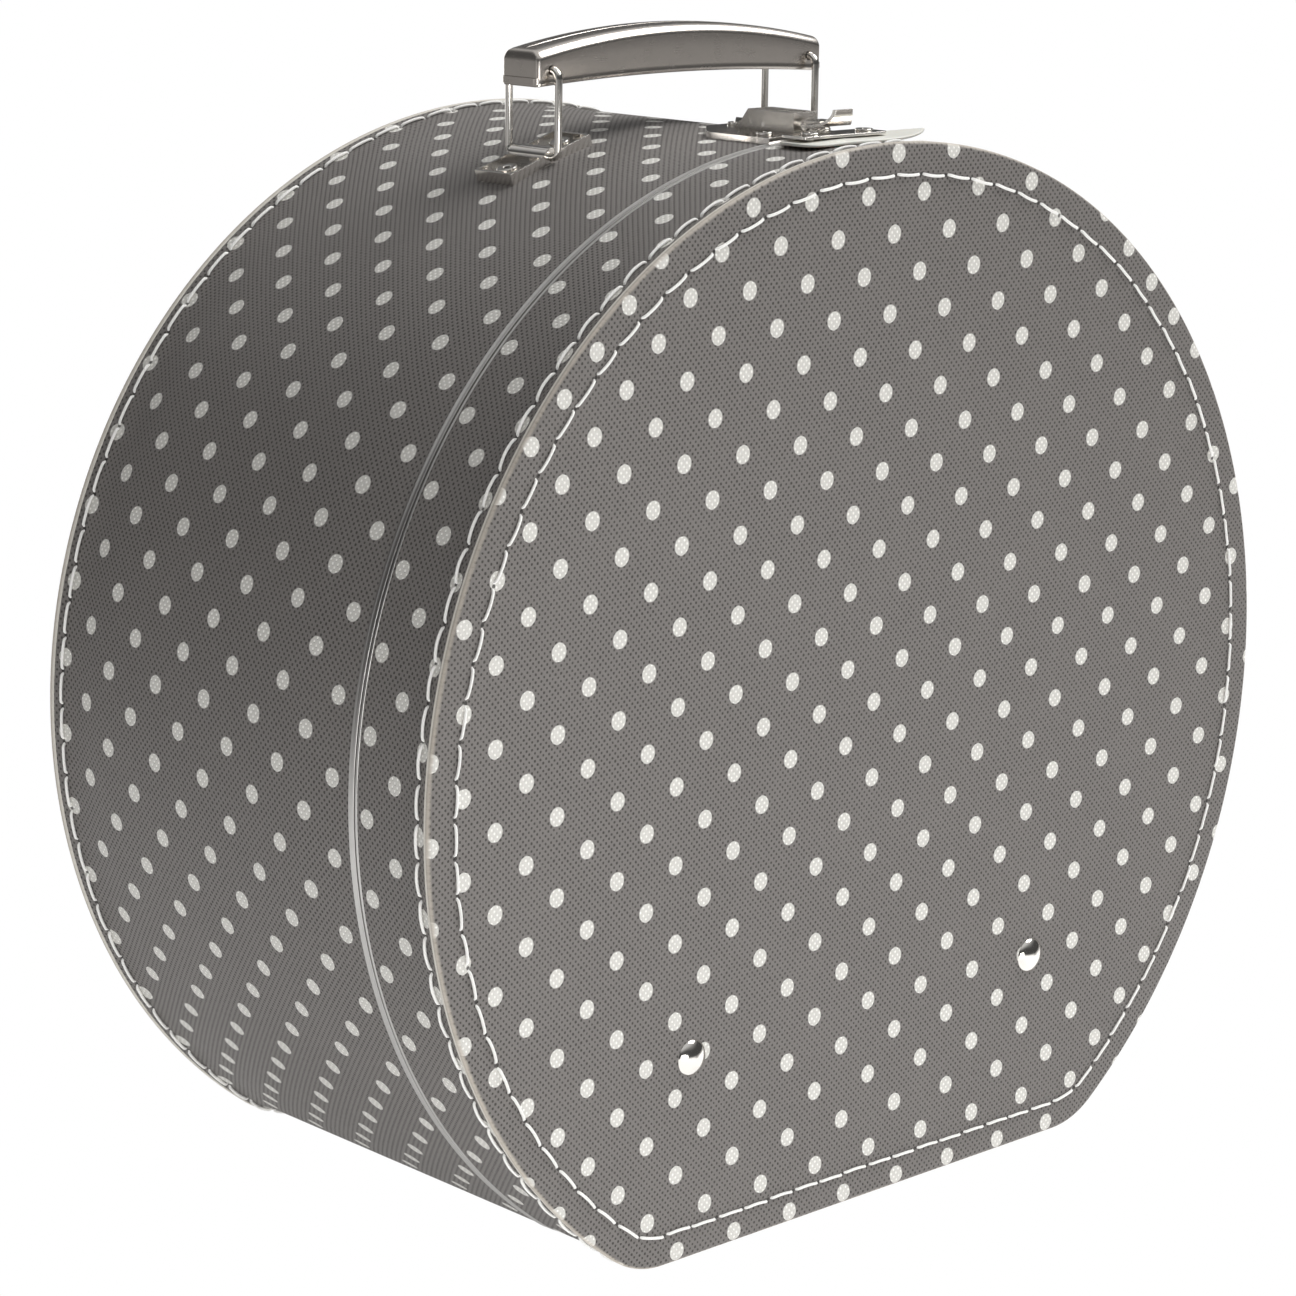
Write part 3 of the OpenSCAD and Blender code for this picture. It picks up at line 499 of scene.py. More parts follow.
def woven_tape(name):
    """Cream cotton tape: the layer "run" is in millimetres across and along the tape."""
    m = Shader(name, Roughness=0.9, Sheen_Weight=0.25)
    u, v, _ = m.split(m.uv("run"))
    warp = m.math("SINE", m.math("MULTIPLY", u, 2 * math.pi / 0.9))
    weft = m.math("SINE", m.math("MULTIPLY", v, 2 * math.pi / 0.7))
    over = m.math("MULTIPLY", warp, weft)
    fuzz = m.noise(m.place(), 2.5, 3.0)
    edge = m.step(m.math("ABSOLUTE", m.math("SUBTRACT", u, 6.0)), 4.9, 5.2)
    shade = m.math("MULTIPLY_ADD", over, 0.22, m.math("MULTIPLY_ADD", fuzz, 0.6, 0.25), clamp=True)
    colour = m.mix(shade, (0.50, 0.47, 0.41), (0.74, 0.71, 0.65))
    m.set(Base_Color=m.mix(m.math("MULTIPLY", edge, 0.35), colour, (0.80, 0.77, 0.71)))
    m.bump(m.math("MULTIPLY_ADD", over, 0.5, fuzz), 0.15, 0.8)
    return m.material


def moulded(name, low, high, roughness):
    """Slightly yellowed moulded plastic with a faint grain."""
    m = Shader(name, Specular_IOR_Level=0.45, Subsurface_Weight=0.05)
    p = m.place()
    cloud = m.noise(p, 0.08, 3.0)
    grain = m.noise(p, 3.5, 3.0)
    shade = m.math("MULTIPLY_ADD", grain, 0.4, m.math("MULTIPLY", cloud, 0.6), clamp=True)
    m.set(Base_Color=m.mix(shade, low, high),
          Roughness=m.math("MULTIPLY_ADD", grain, 0.12, roughness - 0.06))
    m.bump(grain, 0.03, 0.5)
    return m.material


FACE_PAPER = dotted_paper("face_paper", FACE_STITCH_IN)
WALL_PAPER = dotted_paper("wall_paper", WALL_STITCH_IN)
RAW_EDGE = fibre_board("raw_paper_edge", (0.50, 0.47, 0.41), (0.82, 0.79, 0.73), 12.0, 0.05)
GREY_BOARD = fibre_board("binder_board", (0.33, 0.28, 0.22), (0.52, 0.46, 0.38), 6.0)
LINING = fibre_board("lining_paper", (0.70, 0.68, 0.62), (0.86, 0.84, 0.79), 3.0, 0.04, 0.78)
THREAD = twisted_thread("stitching_thread")
TAPE = woven_tape("cotton_tape")
RAIL = metal("edge_rail_metal", (0.50, 0.49, 0.475), 0.30, (0.15, 2.0, 0.15), 0.2)
NICKEL = metal("nickel", (0.78, 0.755, 0.715), 0.12)
STEEL = metal("plated_steel", (0.86, 0.83, 0.79), 0.15, grime=0.15)
WASHER = metal("washer_steel", (0.58, 0.57, 0.54), 0.42, grime=0.4)
SATIN = metal("satin_latch_steel", (0.68, 0.65, 0.61), 0.24, (0.3, 1.6, 1.6), 0.3, 0.01)
HANDLE = metal("brushed_handle_steel", (0.66, 0.615, 0.57), 0.24, (0.06, 1.6, 1.6), 0.2, 0.003)
LINER = moulded("handle_liner_plastic", (0.02, 0.019, 0.018), (0.05, 0.047, 0.044), 0.6)
PAD = moulded("pad_plastic", (0.66, 0.64, 0.57), (0.84, 0.82, 0.76), 0.45)


# ---------- paper shells ----------

def lattice_wall(y, s, y0, s0, turn):
    """Print coordinates on a wall, in centimetres from the dot at (y0, s0) and turned by turn degrees."""
    c, k = math.cos(math.radians(turn)), math.sin(math.radians(turn))
    return np.stack([(c * (y - y0) + k * (s - s0)) / 10, (-k * (y - y0) + c * (s - s0)) / 10], -1)


def smooth(t):
    """0 below 0, 1 above 1, and a smooth step between."""
    t = np.clip(t, 0, 1)
    return t * t * (3 - 2 * t)


def flare(d):
    """How far the wall lies in from the rim at a distance d from the end face."""
    t = np.clip((np.asarray(d) - 1) / 12, 0, 1)
    return WALL_IN * (1 - (1 - t) ** 1.9)


def pucker(s, inset):
    """0 between stitches and 1 at a needle hole."""
    return 0.5 + 0.5 * np.cos(2 * math.pi * run_length(s, inset) / stitch_pitch(inset))


def stitch_pitch(inset):
    """The stitch length near STITCH that goes a whole number of times round the outline."""
    whole = 2 * run_length(np.array([HALF_S]), inset)[0]
    return whole / round(whole / STITCH)


# distances from the end face at which a wall has its close-set rows of points
RIM_D = [1.9, 2.3, 2.9, 3.6, 4.3, 5.0, 5.7, 6.5, 7.5, 9, 11, 13, 16, 20]


def paper_wall(name, face_y, edge_y, lattice, bulge, node, body):
    """The board wall of one shell with its dotted paper, flared to the rim at the end face.

    bulge is how far the sides stand out between the seam and the rim."""
    inward = 1 if edge_y > face_y else -1
    depth = abs(edge_y - face_y)
    d = np.array([x for x in RIM_D if x < depth - 2] + list(np.linspace(22, depth, 12 if depth > 40 else 3)))
    s = RING[:, None]
    stretch = np.exp(-((d[None] - WALL_STITCH_IN) / 1.6) ** 2)
    sides = smooth((abs(s) - 70) / 80) * smooth((320 - abs(s)) / 70)
    inset = flare(d)[None] - bulge * sides * smooth((d[None] - 6) / 18) * smooth((depth - d[None]) / 22)
    inset = inset + stretch * (0.05 + 0.16 * pucker(s, WALL_IN))
    y = np.broadcast_to(face_y + inward * d[None], inset.shape)
    # the end of the board at the seam, the inner side, and the end behind the rim
    inner = WALL_IN + BOARD
    for i, dd in ((inset[:, -1:] + 0.35, depth), (0 * s + inner, depth), (0 * s + inner, 4.5),
                  (0 * s + 2.1, 3.2), (0 * s + 1.0, 2.0), (0 * s + 0.35, 1.9)):
        inset = np.hstack([inset, i])
        y = np.hstack([y, 0 * i + face_y + inward * dd])
    x, z, _, _ = outline(np.broadcast_to(s, inset.shape), inset)
    rows, cols = inset.shape
    # the print of the bulged wall creeps along the sheet towards the crown
    printed = s + (bulge > 0) * (0.25 + 0.8 * smooth((130 - s) / 70))
    uv = lattice_wall(y, np.broadcast_to(printed, y.shape), *lattice)
    edge = np.stack([np.broadcast_to(run_length(s, WALL_IN) / stitch_pitch(WALL_IN), y.shape),
                     abs(y - face_y) / 10], -1)
    return outward(piece(name, np.stack([x, y, z], -1).reshape(-1, 3), grid_faces(rows, cols, wrap_cols=True),
                         WALL_PAPER, body, "dotted_paper", [node],
                         {"lattice": uv.reshape(-1, 2), "edge": edge.reshape(-1, 2)}, weld=True))


DISH = 3.4          # how far the middle of a pressed end lies in
PANEL_T = 1.0
CENTRE_Z = AXIS_Z - 8
LINING_IN, LINING_T, LINING_GAP = 18.0, 0.4, 0.2
# the rounded shoulder as (inset, depth), and the further insets of a pressed end
SHOULDER = [(0.0, 1.3), (0.0, 0.95), (0.08, 0.62), (0.3, 0.3), (0.62, 0.1), (1.0, 0.01), (1.5, 0.0)]
FACE_IN = [2.2, 3.0, 4.0, 5.2, 6.4, 7.2, 7.7, 8.0, 8.3, 8.8, 9.6, 11.0, 13.0, 16.0]


def hub_faces(rows, cols):
    """Triangles from the last column of a grid to the one point that follows the grid."""
    return [(r * cols + cols - 1, (r + 1) * cols + cols - 1, rows * cols) for r in range(rows - 1)]


def face_depth(x, z, inset):
    """How far the pressed face lies behind its rim; the dish starts softly from the rim."""
    dished = DISH * (1 - (x ** 2 + (z - AXIS_Z) ** 2) / RADIUS ** 2)
    return np.maximum(dished, 0) * (1 - np.exp(-np.maximum(inset - 2, 0) / 9))


def paper_face(name, side, x0, z0, node, body):
    """One pressed end with its rounded shoulder; side is -1 for the front."""
    face_y = FRONT_Y if side < 0 else BACK_Y
    s = RING[:, None]
    insets = np.array([p[0] for p in SHOULDER] + FACE_IN)[None]
    x, z, _, _ = outline(s, insets)
    stretch = np.exp(-((insets - FACE_STITCH_IN) / 1.4) ** 2)
    depth = face_depth(x, z, insets) + stretch * (0.05 + 0.12 * pucker(s, FACE_STITCH_IN))
    depth[:, :len(SHOULDER)] += np.array([p[1] for p in SHOULDER])[None]
    shrink = (1 - np.linspace(0, 1, 30)[1:-1])[None]
    xi = x[:, -1:] * shrink
    zi = CENTRE_Z + (z[:, -1:] - CENTRE_Z) * shrink
    x, z = np.hstack([x, xi]), np.hstack([z, zi])
    depth = np.hstack([depth, face_depth(xi, zi, 16 + 60 * (1 - shrink))])
    y = face_y - side * depth
    rows, cols = x.shape
    verts = np.vstack([np.stack([x, y, z], -1).reshape(-1, 3),
                       [[0.0, face_y - side * face_depth(0.0, CENTRE_Z, 76.0), CENTRE_Z]]])
    faces = grid_faces(rows, cols) + hub_faces(rows, cols)
    lattice = np.stack([(verts[:, 0] - x0) / 10, (verts[:, 2] - z0) / 10], -1)
    rim = np.hstack([np.broadcast_to(insets, (rows, insets.size)), np.full(xi.shape, 20.0)])
    number = np.broadcast_to(run_length(s, FACE_STITCH_IN) / stitch_pitch(FACE_STITCH_IN), rim.shape)
    edge = np.vstack([np.stack([number, rim / 10], -1).reshape(-1, 2), [[0.5, 2.0]]])
    return board_sheet(piece(name, verts, faces, FACE_PAPER, None, "dotted_paper", [node],
                             {"lattice": lattice, "edge": edge}, weld=True), side, PANEL_T, body)


def board_sheet(obj, side, thickness, body):
    """Turns a one-sided sheet to look towards side along Y, and gives it a thickness behind that face."""
    bm = bmesh.new()
    bm.from_mesh(obj.data)
    bmesh.ops.recalc_face_normals(bm, faces=bm.faces)
    if sum(f.normal.y * f.calc_area() for f in bm.faces) * side < 0:
        bmesh.ops.reverse_faces(bm, faces=bm.faces)
    bm.to_mesh(obj.data)
    bm.free()
    board = obj.modifiers.new("board", "SOLIDIFY")
    board.thickness = thickness * MM
    board.offset = -1
    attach(obj, body)
    return obj


def face_lining(name, side, node, body):
    """The lining sheet behind a pressed end."""
    face_y = FRONT_Y if side < 0 else BACK_Y
    x, z, _, _ = outline(RING[:, None], LINING_IN)
    shrink = (1 - np.linspace(0, 1, 24)[:-1])[None]
    xi, zi = x * shrink, CENTRE_Z + (z - CENTRE_Z) * shrink

    def sheet_y(x, z):
        return face_y - side * (face_depth(x, z, LINING_IN) + PANEL_T + LINING_GAP)
    verts = np.vstack([np.stack([xi, sheet_y(xi, zi), zi], -1).reshape(-1, 3),
                       [[0, sheet_y(0, CENTRE_Z), CENTRE_Z]]])
    rows, cols = xi.shape
    faces = grid_faces(rows, cols) + hub_faces(rows, cols)
    return board_sheet(piece(name, verts, faces, LINING, None, "lining_paper", [node], weld=True),
                       side, LINING_T, body)


BODY_BULGE = 1.3
# where one printed dot lies, measured on the photograph: y, s and turn on a wall, x and z on a face
BODY_PRINT, LID_PRINT = (-9.1, 199.6, 0.45), (-11.75, 197.0, 0.5)
FRONT_PRINT, BACK_PRINT = (-39.4, 172.8), (-34.0, 176.0)
paper_wall("body_paper_wall", BACK_Y, BODY_EDGE_Y + BODY_RAIL_W, BODY_PRINT, BODY_BULGE, "body_wall", "body")
paper_wall("lid_paper_wall", FRONT_Y, LID_EDGE_Y - LID_RAIL_W, LID_PRINT, 0.0, "lid_wall", "lid")
paper_face("front_paper_face", -1, *FRONT_PRINT, "front_panel", "lid")
paper_face("back_paper_face", 1, *BACK_PRINT, "back_panel", "body")
face_lining("front_face_lining", -1, "front_panel_lining", "lid")
face_lining("back_face_lining", 1, "back_panel_lining", "body")
RAW_PROFILE = [(0.30, 2.15), (0.06, 2.0), (0.0, 1.7), (0.0, 1.3), (0.06, 1.1), (0.5, 1.0), (1.6, 1.0),
               (1.6, 2.2)]
for name, face_y, inward, body in (("front_raw_edge", FRONT_Y, 1, "lid"),
                                   ("back_raw_edge", BACK_Y, -1, "body")):
    profile = [(i, face_y + inward * d) for i, d in RAW_PROFILE]
    swept(name, RING, profile, RAW_EDGE, round_trip=True, body=body, slot="grey_board")


# ---------- edge rails ----------

knuckles_lo, knuckles_hi = box("hinge_pin_right")
HINGE_GAP = 0.4
NOTCH = (knuckles_lo[0] - HINGE_GAP, knuckles_hi[0] + HINGE_GAP)
long_end = HALF_S - NOTCH[1]
long_run = np.concatenate([[-long_end], RING[np.abs(RING) < long_end], [long_end]])
short_half = np.linspace(HALF_S - NOTCH[0], HALF_S, 8)
short_run = np.concatenate([short_half, -short_half[-2::-1]])
# sections of the rails: how far in from the rim, and how far from the edge at the seam
BODY_RAIL = [(1.66, 2.24), (1.44, 2.12), (1.30, 1.9), (1.26, 1.6), (1.40, 1.35), (1.42, 0.6), (1.30, 0.3),
             (1.34, 0.08), (1.5, 0.0), (4.0, 0.0), (4.0, 3.4), (3.56, 3.4), (3.56, 0.5), (2.0, 0.5),
             (2.0, 2.24)]
LID_RAIL = [(1.62, 0.84), (1.42, 0.74), (1.32, 0.5), (1.34, 0.2), (1.46, 0.02), (1.6, 0.0), (3.9, 0.0),
            (3.9, 2.4), (3.56, 2.4), (3.56, 0.5), (2.0, 0.5), (2.0, 0.84)]
for body, section, edge_y, way in (("body", BODY_RAIL, BODY_EDGE_Y, 1), ("lid", LID_RAIL, LID_EDGE_Y, -1)):
    profile = [(i, edge_y + way * d) for i, d in section]
    node = body + "_edge_rail"
    swept(body + "_rail", long_run, profile, RAIL, body=body, slot="edge_metal", replaces=[node])
    swept(body + "_rail_between_hinges", short_run, profile, RAIL, body=body, slot="edge_metal")


# ---------- stitching ----------

STITCH_T = np.array([0, 0.03, 0.08, 0.16, 0.3, 0.45, 0.6, 0.75, 0.87, 0.94, 0.98, 1.0])
# height of the thread's middle over the paper along a stitch, before it arches
RISE_T = [0, 0.03, 0.08, 0.16, 0.5, 0.87, 0.94, 0.98, 1]
RISE = [-0.9, -0.2, 0.28, 0.40, 0.42, 0.40, 0.30, -0.1, -0.9]
THREAD_R = 0.39
THREAD_SIDES = 8
SEAT = 0.08    # how deep the thread presses into the paper


def stitch_line(name, place, inset, gap, arch, bow, node, body):
    """A row of separate stitches; place(s, across, height) gives points on the sewn surface.

    gap lies between two stitches, arch is how high a loose one stands and bow how far it bends sideways."""
    pitch = stitch_pitch(inset)
    count = round(2 * run_length(np.array([HALF_S]), inset)[0] / pitch)
    table_s = np.linspace(-HALF_S, HALF_S, 4001)
    table_l = run_length(table_s, inset)
    t = STITCH_T
    rise = np.interp(t, RISE_T, RISE)
    loose = np.sin(math.pi * np.clip((t - 0.04) / 0.92, 0, 1)) ** 1.3
    radius = THREAD_R * np.interp(t, [0, 0.06, 0.94, 1], [0.75, 1, 1, 0.75])
    turn = np.arange(THREAD_SIDES)[None] / THREAD_SIDES
    verts, faces, uvs = [], [], []
    for k in range(count):
        length = pitch - gap * rng.uniform(0.75, 1.25)
        mid = (k + 0.5) * pitch - table_l[-1] + rng.normal(0, 0.12)
        l = mid + (t - 0.5) * length
        slack = rng.uniform(0.6, 1.3)
        skew = rng.normal(0, 0.10) + 0.12 * (0.5 - t)
        across = bow * slack * (1 - (2 * t - 1) ** 2) + skew - bow * 0.5
        up = rise + arch * slack * loose
        path = place(np.interp(l, table_l, table_s), across, up)
        base = k * len(t) * THREAD_SIDES
        last = base + (len(t) - 1) * THREAD_SIDES
        faces += grid_faces(len(t), THREAD_SIDES, wrap_cols=True, offset=base)
        faces += [list(range(base, base + THREAD_SIDES))[::-1], list(range(last, last + THREAD_SIDES))]
        uvs.append(np.stack(np.broadcast_arrays(turn, l[:, None]), -1))
        verts.append(tube_points(path, radius, THREAD_SIDES))
    verts = np.concatenate(verts).reshape(-1, 3)
    uvs = np.concatenate(uvs).reshape(-1, 2)
    return outward(piece(name, verts, faces, THREAD, body, "thread", [node], {"run": uvs}, sharp=0))


def on_face(side):
    """Places on the stitch line of a pressed end."""
    face_y = FRONT_Y if side < 0 else BACK_Y

    def place(s, across, height):
        x, z, _, _ = outline(s, FACE_STITCH_IN + across)
        return np.stack([x, face_y + side * (height - face_depth(x, z, FACE_STITCH_IN) - SEAT), z], -1)
    return place


def on_wall(face_y, inward):
    """Places on the stitch line of a wall."""
    def place(s, across, height):
        d = WALL_STITCH_IN + across
        x, z, _, _ = outline(s, flare(d) + SEAT - height)
        return np.stack([x, face_y + inward * d, z], -1)
    return place


FACE_SEWN, WALL_SEWN = (1.35, 0.06, 0.32), (0.8, 0.28, 0.30)    # gap, arch and bow
stitch_line("front_face_stitches", on_face(-1), FACE_STITCH_IN, *FACE_SEWN, "front_face_thread", "lid")
stitch_line("back_face_stitches", on_face(1), FACE_STITCH_IN, *FACE_SEWN, "back_face_thread", "body")
stitch_line("lid_wall_stitches", on_wall(FRONT_Y, 1), WALL_IN, *WALL_SEWN, "lid_wall_thread", "lid")
stitch_line("body_wall_stitches", on_wall(BACK_Y, -1), WALL_IN, *WALL_SEWN, "body_wall_thread", "body")


# ---------- domed face rivets ----------

RIVET_SIDES = 48


def turned(name, centres, profile, side, material, slot, body, node):
    """Solids of revolution about Y: profile is (radius, distance outwards) from axis point to axis point.

    side is -1 where outwards is -Y."""
    axis = np.array([0.0, side, 0.0])
    a = np.array([side, 0.0, 0.0])
    b = np.cross(axis, a)
    turn = np.arange(RIVET_SIDES) * 2 * math.pi / RIVET_SIDES
    n = len(profile) - 2
    verts, faces = [], []
    for c in centres:
        first = len(verts) + 1
        last = first + (n - 1) * RIVET_SIDES
        verts.append(c + axis * profile[0][1])
        for r, h in profile[1:-1]:
            verts += [c + axis * h + r * (math.cos(t) * a + math.sin(t) * b) for t in turn]
        verts.append(c + axis * profile[-1][1])
        faces += grid_faces(n, RIVET_SIDES, wrap_cols=True, offset=first)
        for i in range(RIVET_SIDES):
            j = (i + 1) % RIVET_SIDES
            faces.append((first - 1, first + i, first + j))
            faces.append((last + RIVET_SIDES, last + j, last + i))
    return outward(piece(name, np.array(verts), faces, material, body, slot, [node], sharp=50))


# a rivet's head, shank and clenched end
DOME = [(0, 2.2)] + [(r, 2.2 - 0.088 * r * r) for r in (0.6, 1.4, 2.2, 3.0, 3.7, 4.2)]
DOME += [(4.62, 0.22), (4.72, 0.0), (4.66, -0.12), (4.4, -0.2), (1.6, -0.2), (1.6, -3.5), (2.5, -3.5),
         (2.5, -4.0), (0, -4.0)]
for name, node, side, body in (("front_face_rivets", "front_rivets", -1, "lid"),
                               ("back_face_rivets", "back_rivets", 1, "body")):
    lo, hi = box(node)
    mid_z = (lo[2] + hi[2]) / 2
    face_y = FRONT_Y if side < 0 else BACK_Y
    rivet_x = hi[0] - (hi[2] - lo[2]) / 2
    sunk = float(face_depth(rivet_x, mid_z, 40.0))
    centres = [np.array([s * rivet_x, face_y - side * sunk, mid_z]) for s in (-1, 1)]
    turned(name, centres, DOME, side, NICKEL, "nickel", body, node)


# ---------- handle and bails ----------

def rounded_rect(half_x, half_y, r):
    """Points round a rectangle with rounded corners, with extra points along the sides."""
    pts = []
    for cx, cy, a0 in ((1, 1, 0), (-1, 1, 90), (-1, -1, 180), (1, -1, 270)):
        for i in range(7):
            a = math.radians(a0 + 90 * i / 6)
            pts.append((cx * (half_x - r) + r * math.cos(a), cy * (half_y - r) + r * math.sin(a)))
        if (cx, cy) in ((1, 1), (-1, -1)):
            xs = np.linspace(pts[-1][0], -pts[-1][0], 42)[1:-1]
            pts += [(x, cy * half_y) for x in xs]
        else:
            ys = np.linspace(pts[-1][1], -pts[-1][1], 8)[1:-1]
            pts += [(cx * half_x, y) for y in ys]
    return np.array(pts)


shell_lo, shell_hi = box("handle_shell")
HANDLE_C = (shell_lo + shell_hi) / 2
HALF_L, HALF_W = (shell_hi[0] - shell_lo[0]) / 2, (shell_hi[1] - shell_lo[1]) / 2
ARCH, BELLY = 5.3, 1.9    # rise of the handle's top and of its underside over the ends
arch_r = (HALF_L ** 2 + ARCH ** 2) / (2 * ARCH)
belly_r = (HALF_L ** 2 + BELLY ** 2) / (2 * BELLY)


def handle_top(x):
    """Height of the top along the handle."""
    return shell_hi[2] - arch_r + np.sqrt(arch_r ** 2 - x * x)


def handle_low(x):
    """Height of the lower rim along the handle."""
    return shell_lo[2] + BELLY - belly_r + np.sqrt(belly_r ** 2 - x * x)


# rings of the shell from the turned-in lower lip upwards: inset of the plan, corner radius, and height over
# the lower rim or the top
LOW_RINGS = [(1.05, 0.6, 2.2), (1.0, 0.6, 0.4), (0.75, 0.7, 0.08), (0.4, 0.9, 0.0), (0.1, 1.1, 0.2),
             (-0.05, 1.3, 0.6), (-0.04, 1.3, 0.95), (0.06, 1.2, 1.3), (0.03, 1.2, 2.0)]
TOP_RINGS = [(0.0, 1.2, -2.6), (0.04, 1.2, -2.2), (0.18, 1.2, -1.8), (0.5, 1.1, -1.25), (0.95, 1.0, -0.75),
             (1.5, 0.9, -0.38), (2.1, 0.8, -0.15), (2.8, 0.7, -0.03), (4.0, 0.6, 0.03), (5.4, 0.5, 0.06),
             (6.7, 0.15, 0.08)]
CROWN = TOP_RINGS[-1][2]
HANDLE_SHARP = 28


def shell_ring(inset, r, height, draw_in):
    """One ring of the shell; height(x) is its height along the handle."""
    plan = rounded_rect(HALF_L - 0.1 - (0.3 * inset if draw_in else 0), HALF_W - inset, r)
    return np.column_stack([plan[:, 0], plan[:, 1] + HANDLE_C[1], height(plan[:, 0])])


rings = [shell_ring(i, r, lambda x: handle_low(x) + h, i > 0.3) for i, r, h in LOW_RINGS]
rings.append(shell_ring(0.0, 1.2, lambda x: (handle_low(x) + handle_top(x)) / 2, False))
rings += [shell_ring(i, r, lambda x: handle_top(x) + h - CROWN, True) for i, r, h in TOP_RINGS]
cols = len(rings[0])
top0 = (len(rings) - 1) * cols
handle_faces = grid_faces(len(rings), cols, wrap_cols=True) + [list(range(top0, top0 + cols))]
handle = outward(piece("handle_grip", np.vstack(rings), handle_faces, HANDLE, None, "handle_steel",
                       ["handle_shell"], sharp=HANDLE_SHARP))
bail_lo, bail_hi = box("bail_left")
WIRE_R, HOLE_R = 1.0, 1.25
BAR_Z, GRIP_Z = bail_lo[2] + WIRE_R, bail_hi[2] - WIRE_R
BAIL_X = -(bail_lo[0] + bail_hi[0]) / 2
# two rods that cut the holes for the wires
cutter_verts, cutter_faces = [], []
for x in (-BAIL_X, BAIL_X):
    k = len(cutter_verts)
    for y in (HANDLE_C[1] - 12, HANDLE_C[1] + 12):
        cutter_verts += [(x + HOLE_R * math.cos(a), y, GRIP_Z + HOLE_R * math.sin(a))
                         for a in np.arange(32) * 2 * math.pi / 32]
    cutter_faces += grid_faces(2, 32, wrap_cols=True, offset=k)
    cutter_faces += [list(range(k, k + 32)), list(range(k + 32, k + 64))[::-1]]
cutter = outward(piece("hole_cutter", np.array(cutter_verts), cutter_faces, HANDLE))
thick = handle.modifiers.new("sheet", "SOLIDIFY")
thick.thickness = 0.9 * MM
thick.offset = -1
cut = handle.modifiers.new("holes", "BOOLEAN")
cut.operation = "DIFFERENCE"
cut.solver = "EXACT"
cut.object = cutter
bpy.context.view_layer.update()
finished = bpy.data.meshes.new_from_object(handle.evaluated_get(bpy.context.evaluated_depsgraph_get()))
handle.modifiers.clear()
handle.data = finished
handle.data.set_sharp_from_angle(angle=math.radians(HANDLE_SHARP))
bpy.data.objects.remove(cutter)
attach(handle, "handle")


def bail_path(x):
    """Closed loop in the plane of a bail, with rounded corners."""
    y0, y1 = bail_lo[1] + WIRE_R, bail_hi[1] - WIRE_R
    pts = []
    for cy, cz, a0, r in ((y1, GRIP_Z, 0, 2.2), (y0, GRIP_Z, 90, 2.2),
                          (y0, BAR_Z, 180, 1.8), (y1, BAR_Z, 270, 1.8)):
        oy, oz = cy - math.copysign(r, cy - HANDLE_C[1]), cz - math.copysign(r, cz - (BAR_Z + GRIP_Z) / 2)
        for i in range(9):
            a = math.radians(a0 + 90 * i / 8)
            pts.append((x, oy + r * math.cos(a), oz + r * math.sin(a)))
    return np.array(pts)


WIRE_SIDES = 20
for name, x in (("bail_left", -BAIL_X), ("bail_right", BAIL_X)):
    path = bail_path(x)
    ring = tube_points(path, WIRE_R, WIRE_SIDES, closed=True)
    faces = grid_faces(len(path), WIRE_SIDES, wrap_rows=True, wrap_cols=True)
    outward(piece(name + "_wire", ring.reshape(-1, 3), faces, NICKEL, name, "nickel", [name], sharp=0))


# ---------- small metal parts with eased edges ----------

EASED = (
    ("handle_bracket_left", 0.30, STEEL), ("handle_bracket_right", 0.30, STEEL),
    ("bracket_rivets", 0.28, NICKEL), ("latch_plate", 0.25, STEEL), ("latch_housing", 0.30, SATIN),
    ("latch_lever", 0.18, SATIN), ("latch_rivets", 0.22, NICKEL), ("keeper_plate", 0.20, STEEL),
    ("keeper_rivets", 0.22, NICKEL),
    ("hinge_leaf_body_left", 0.15, STEEL), ("hinge_leaf_body_right", 0.15, STEEL),
    ("hinge_leaf_lid_left", 0.15, STEEL), ("hinge_leaf_lid_right", 0.15, STEEL),
    ("hinge_rivets_body", 0.12, STEEL), ("hinge_rivets_lid", 0.12, STEEL),
)
for node, width, material in EASED:
    soften(node, width, material)
# the washers and the tape ends follow the dished ends, so they lie END_SHIFT further in than in the CAD
WASHER_GAP, CAD_WASHER_IN = 0.6, 2.45
END_SHIFT = sunk + PANEL_T + WASHER_GAP - CAD_WASHER_IN
soften("front_rivet_washers", 0.08, WASHER, shift=END_SHIFT)
soften("back_rivet_washers", 0.08, WASHER, shift=-END_SHIFT)


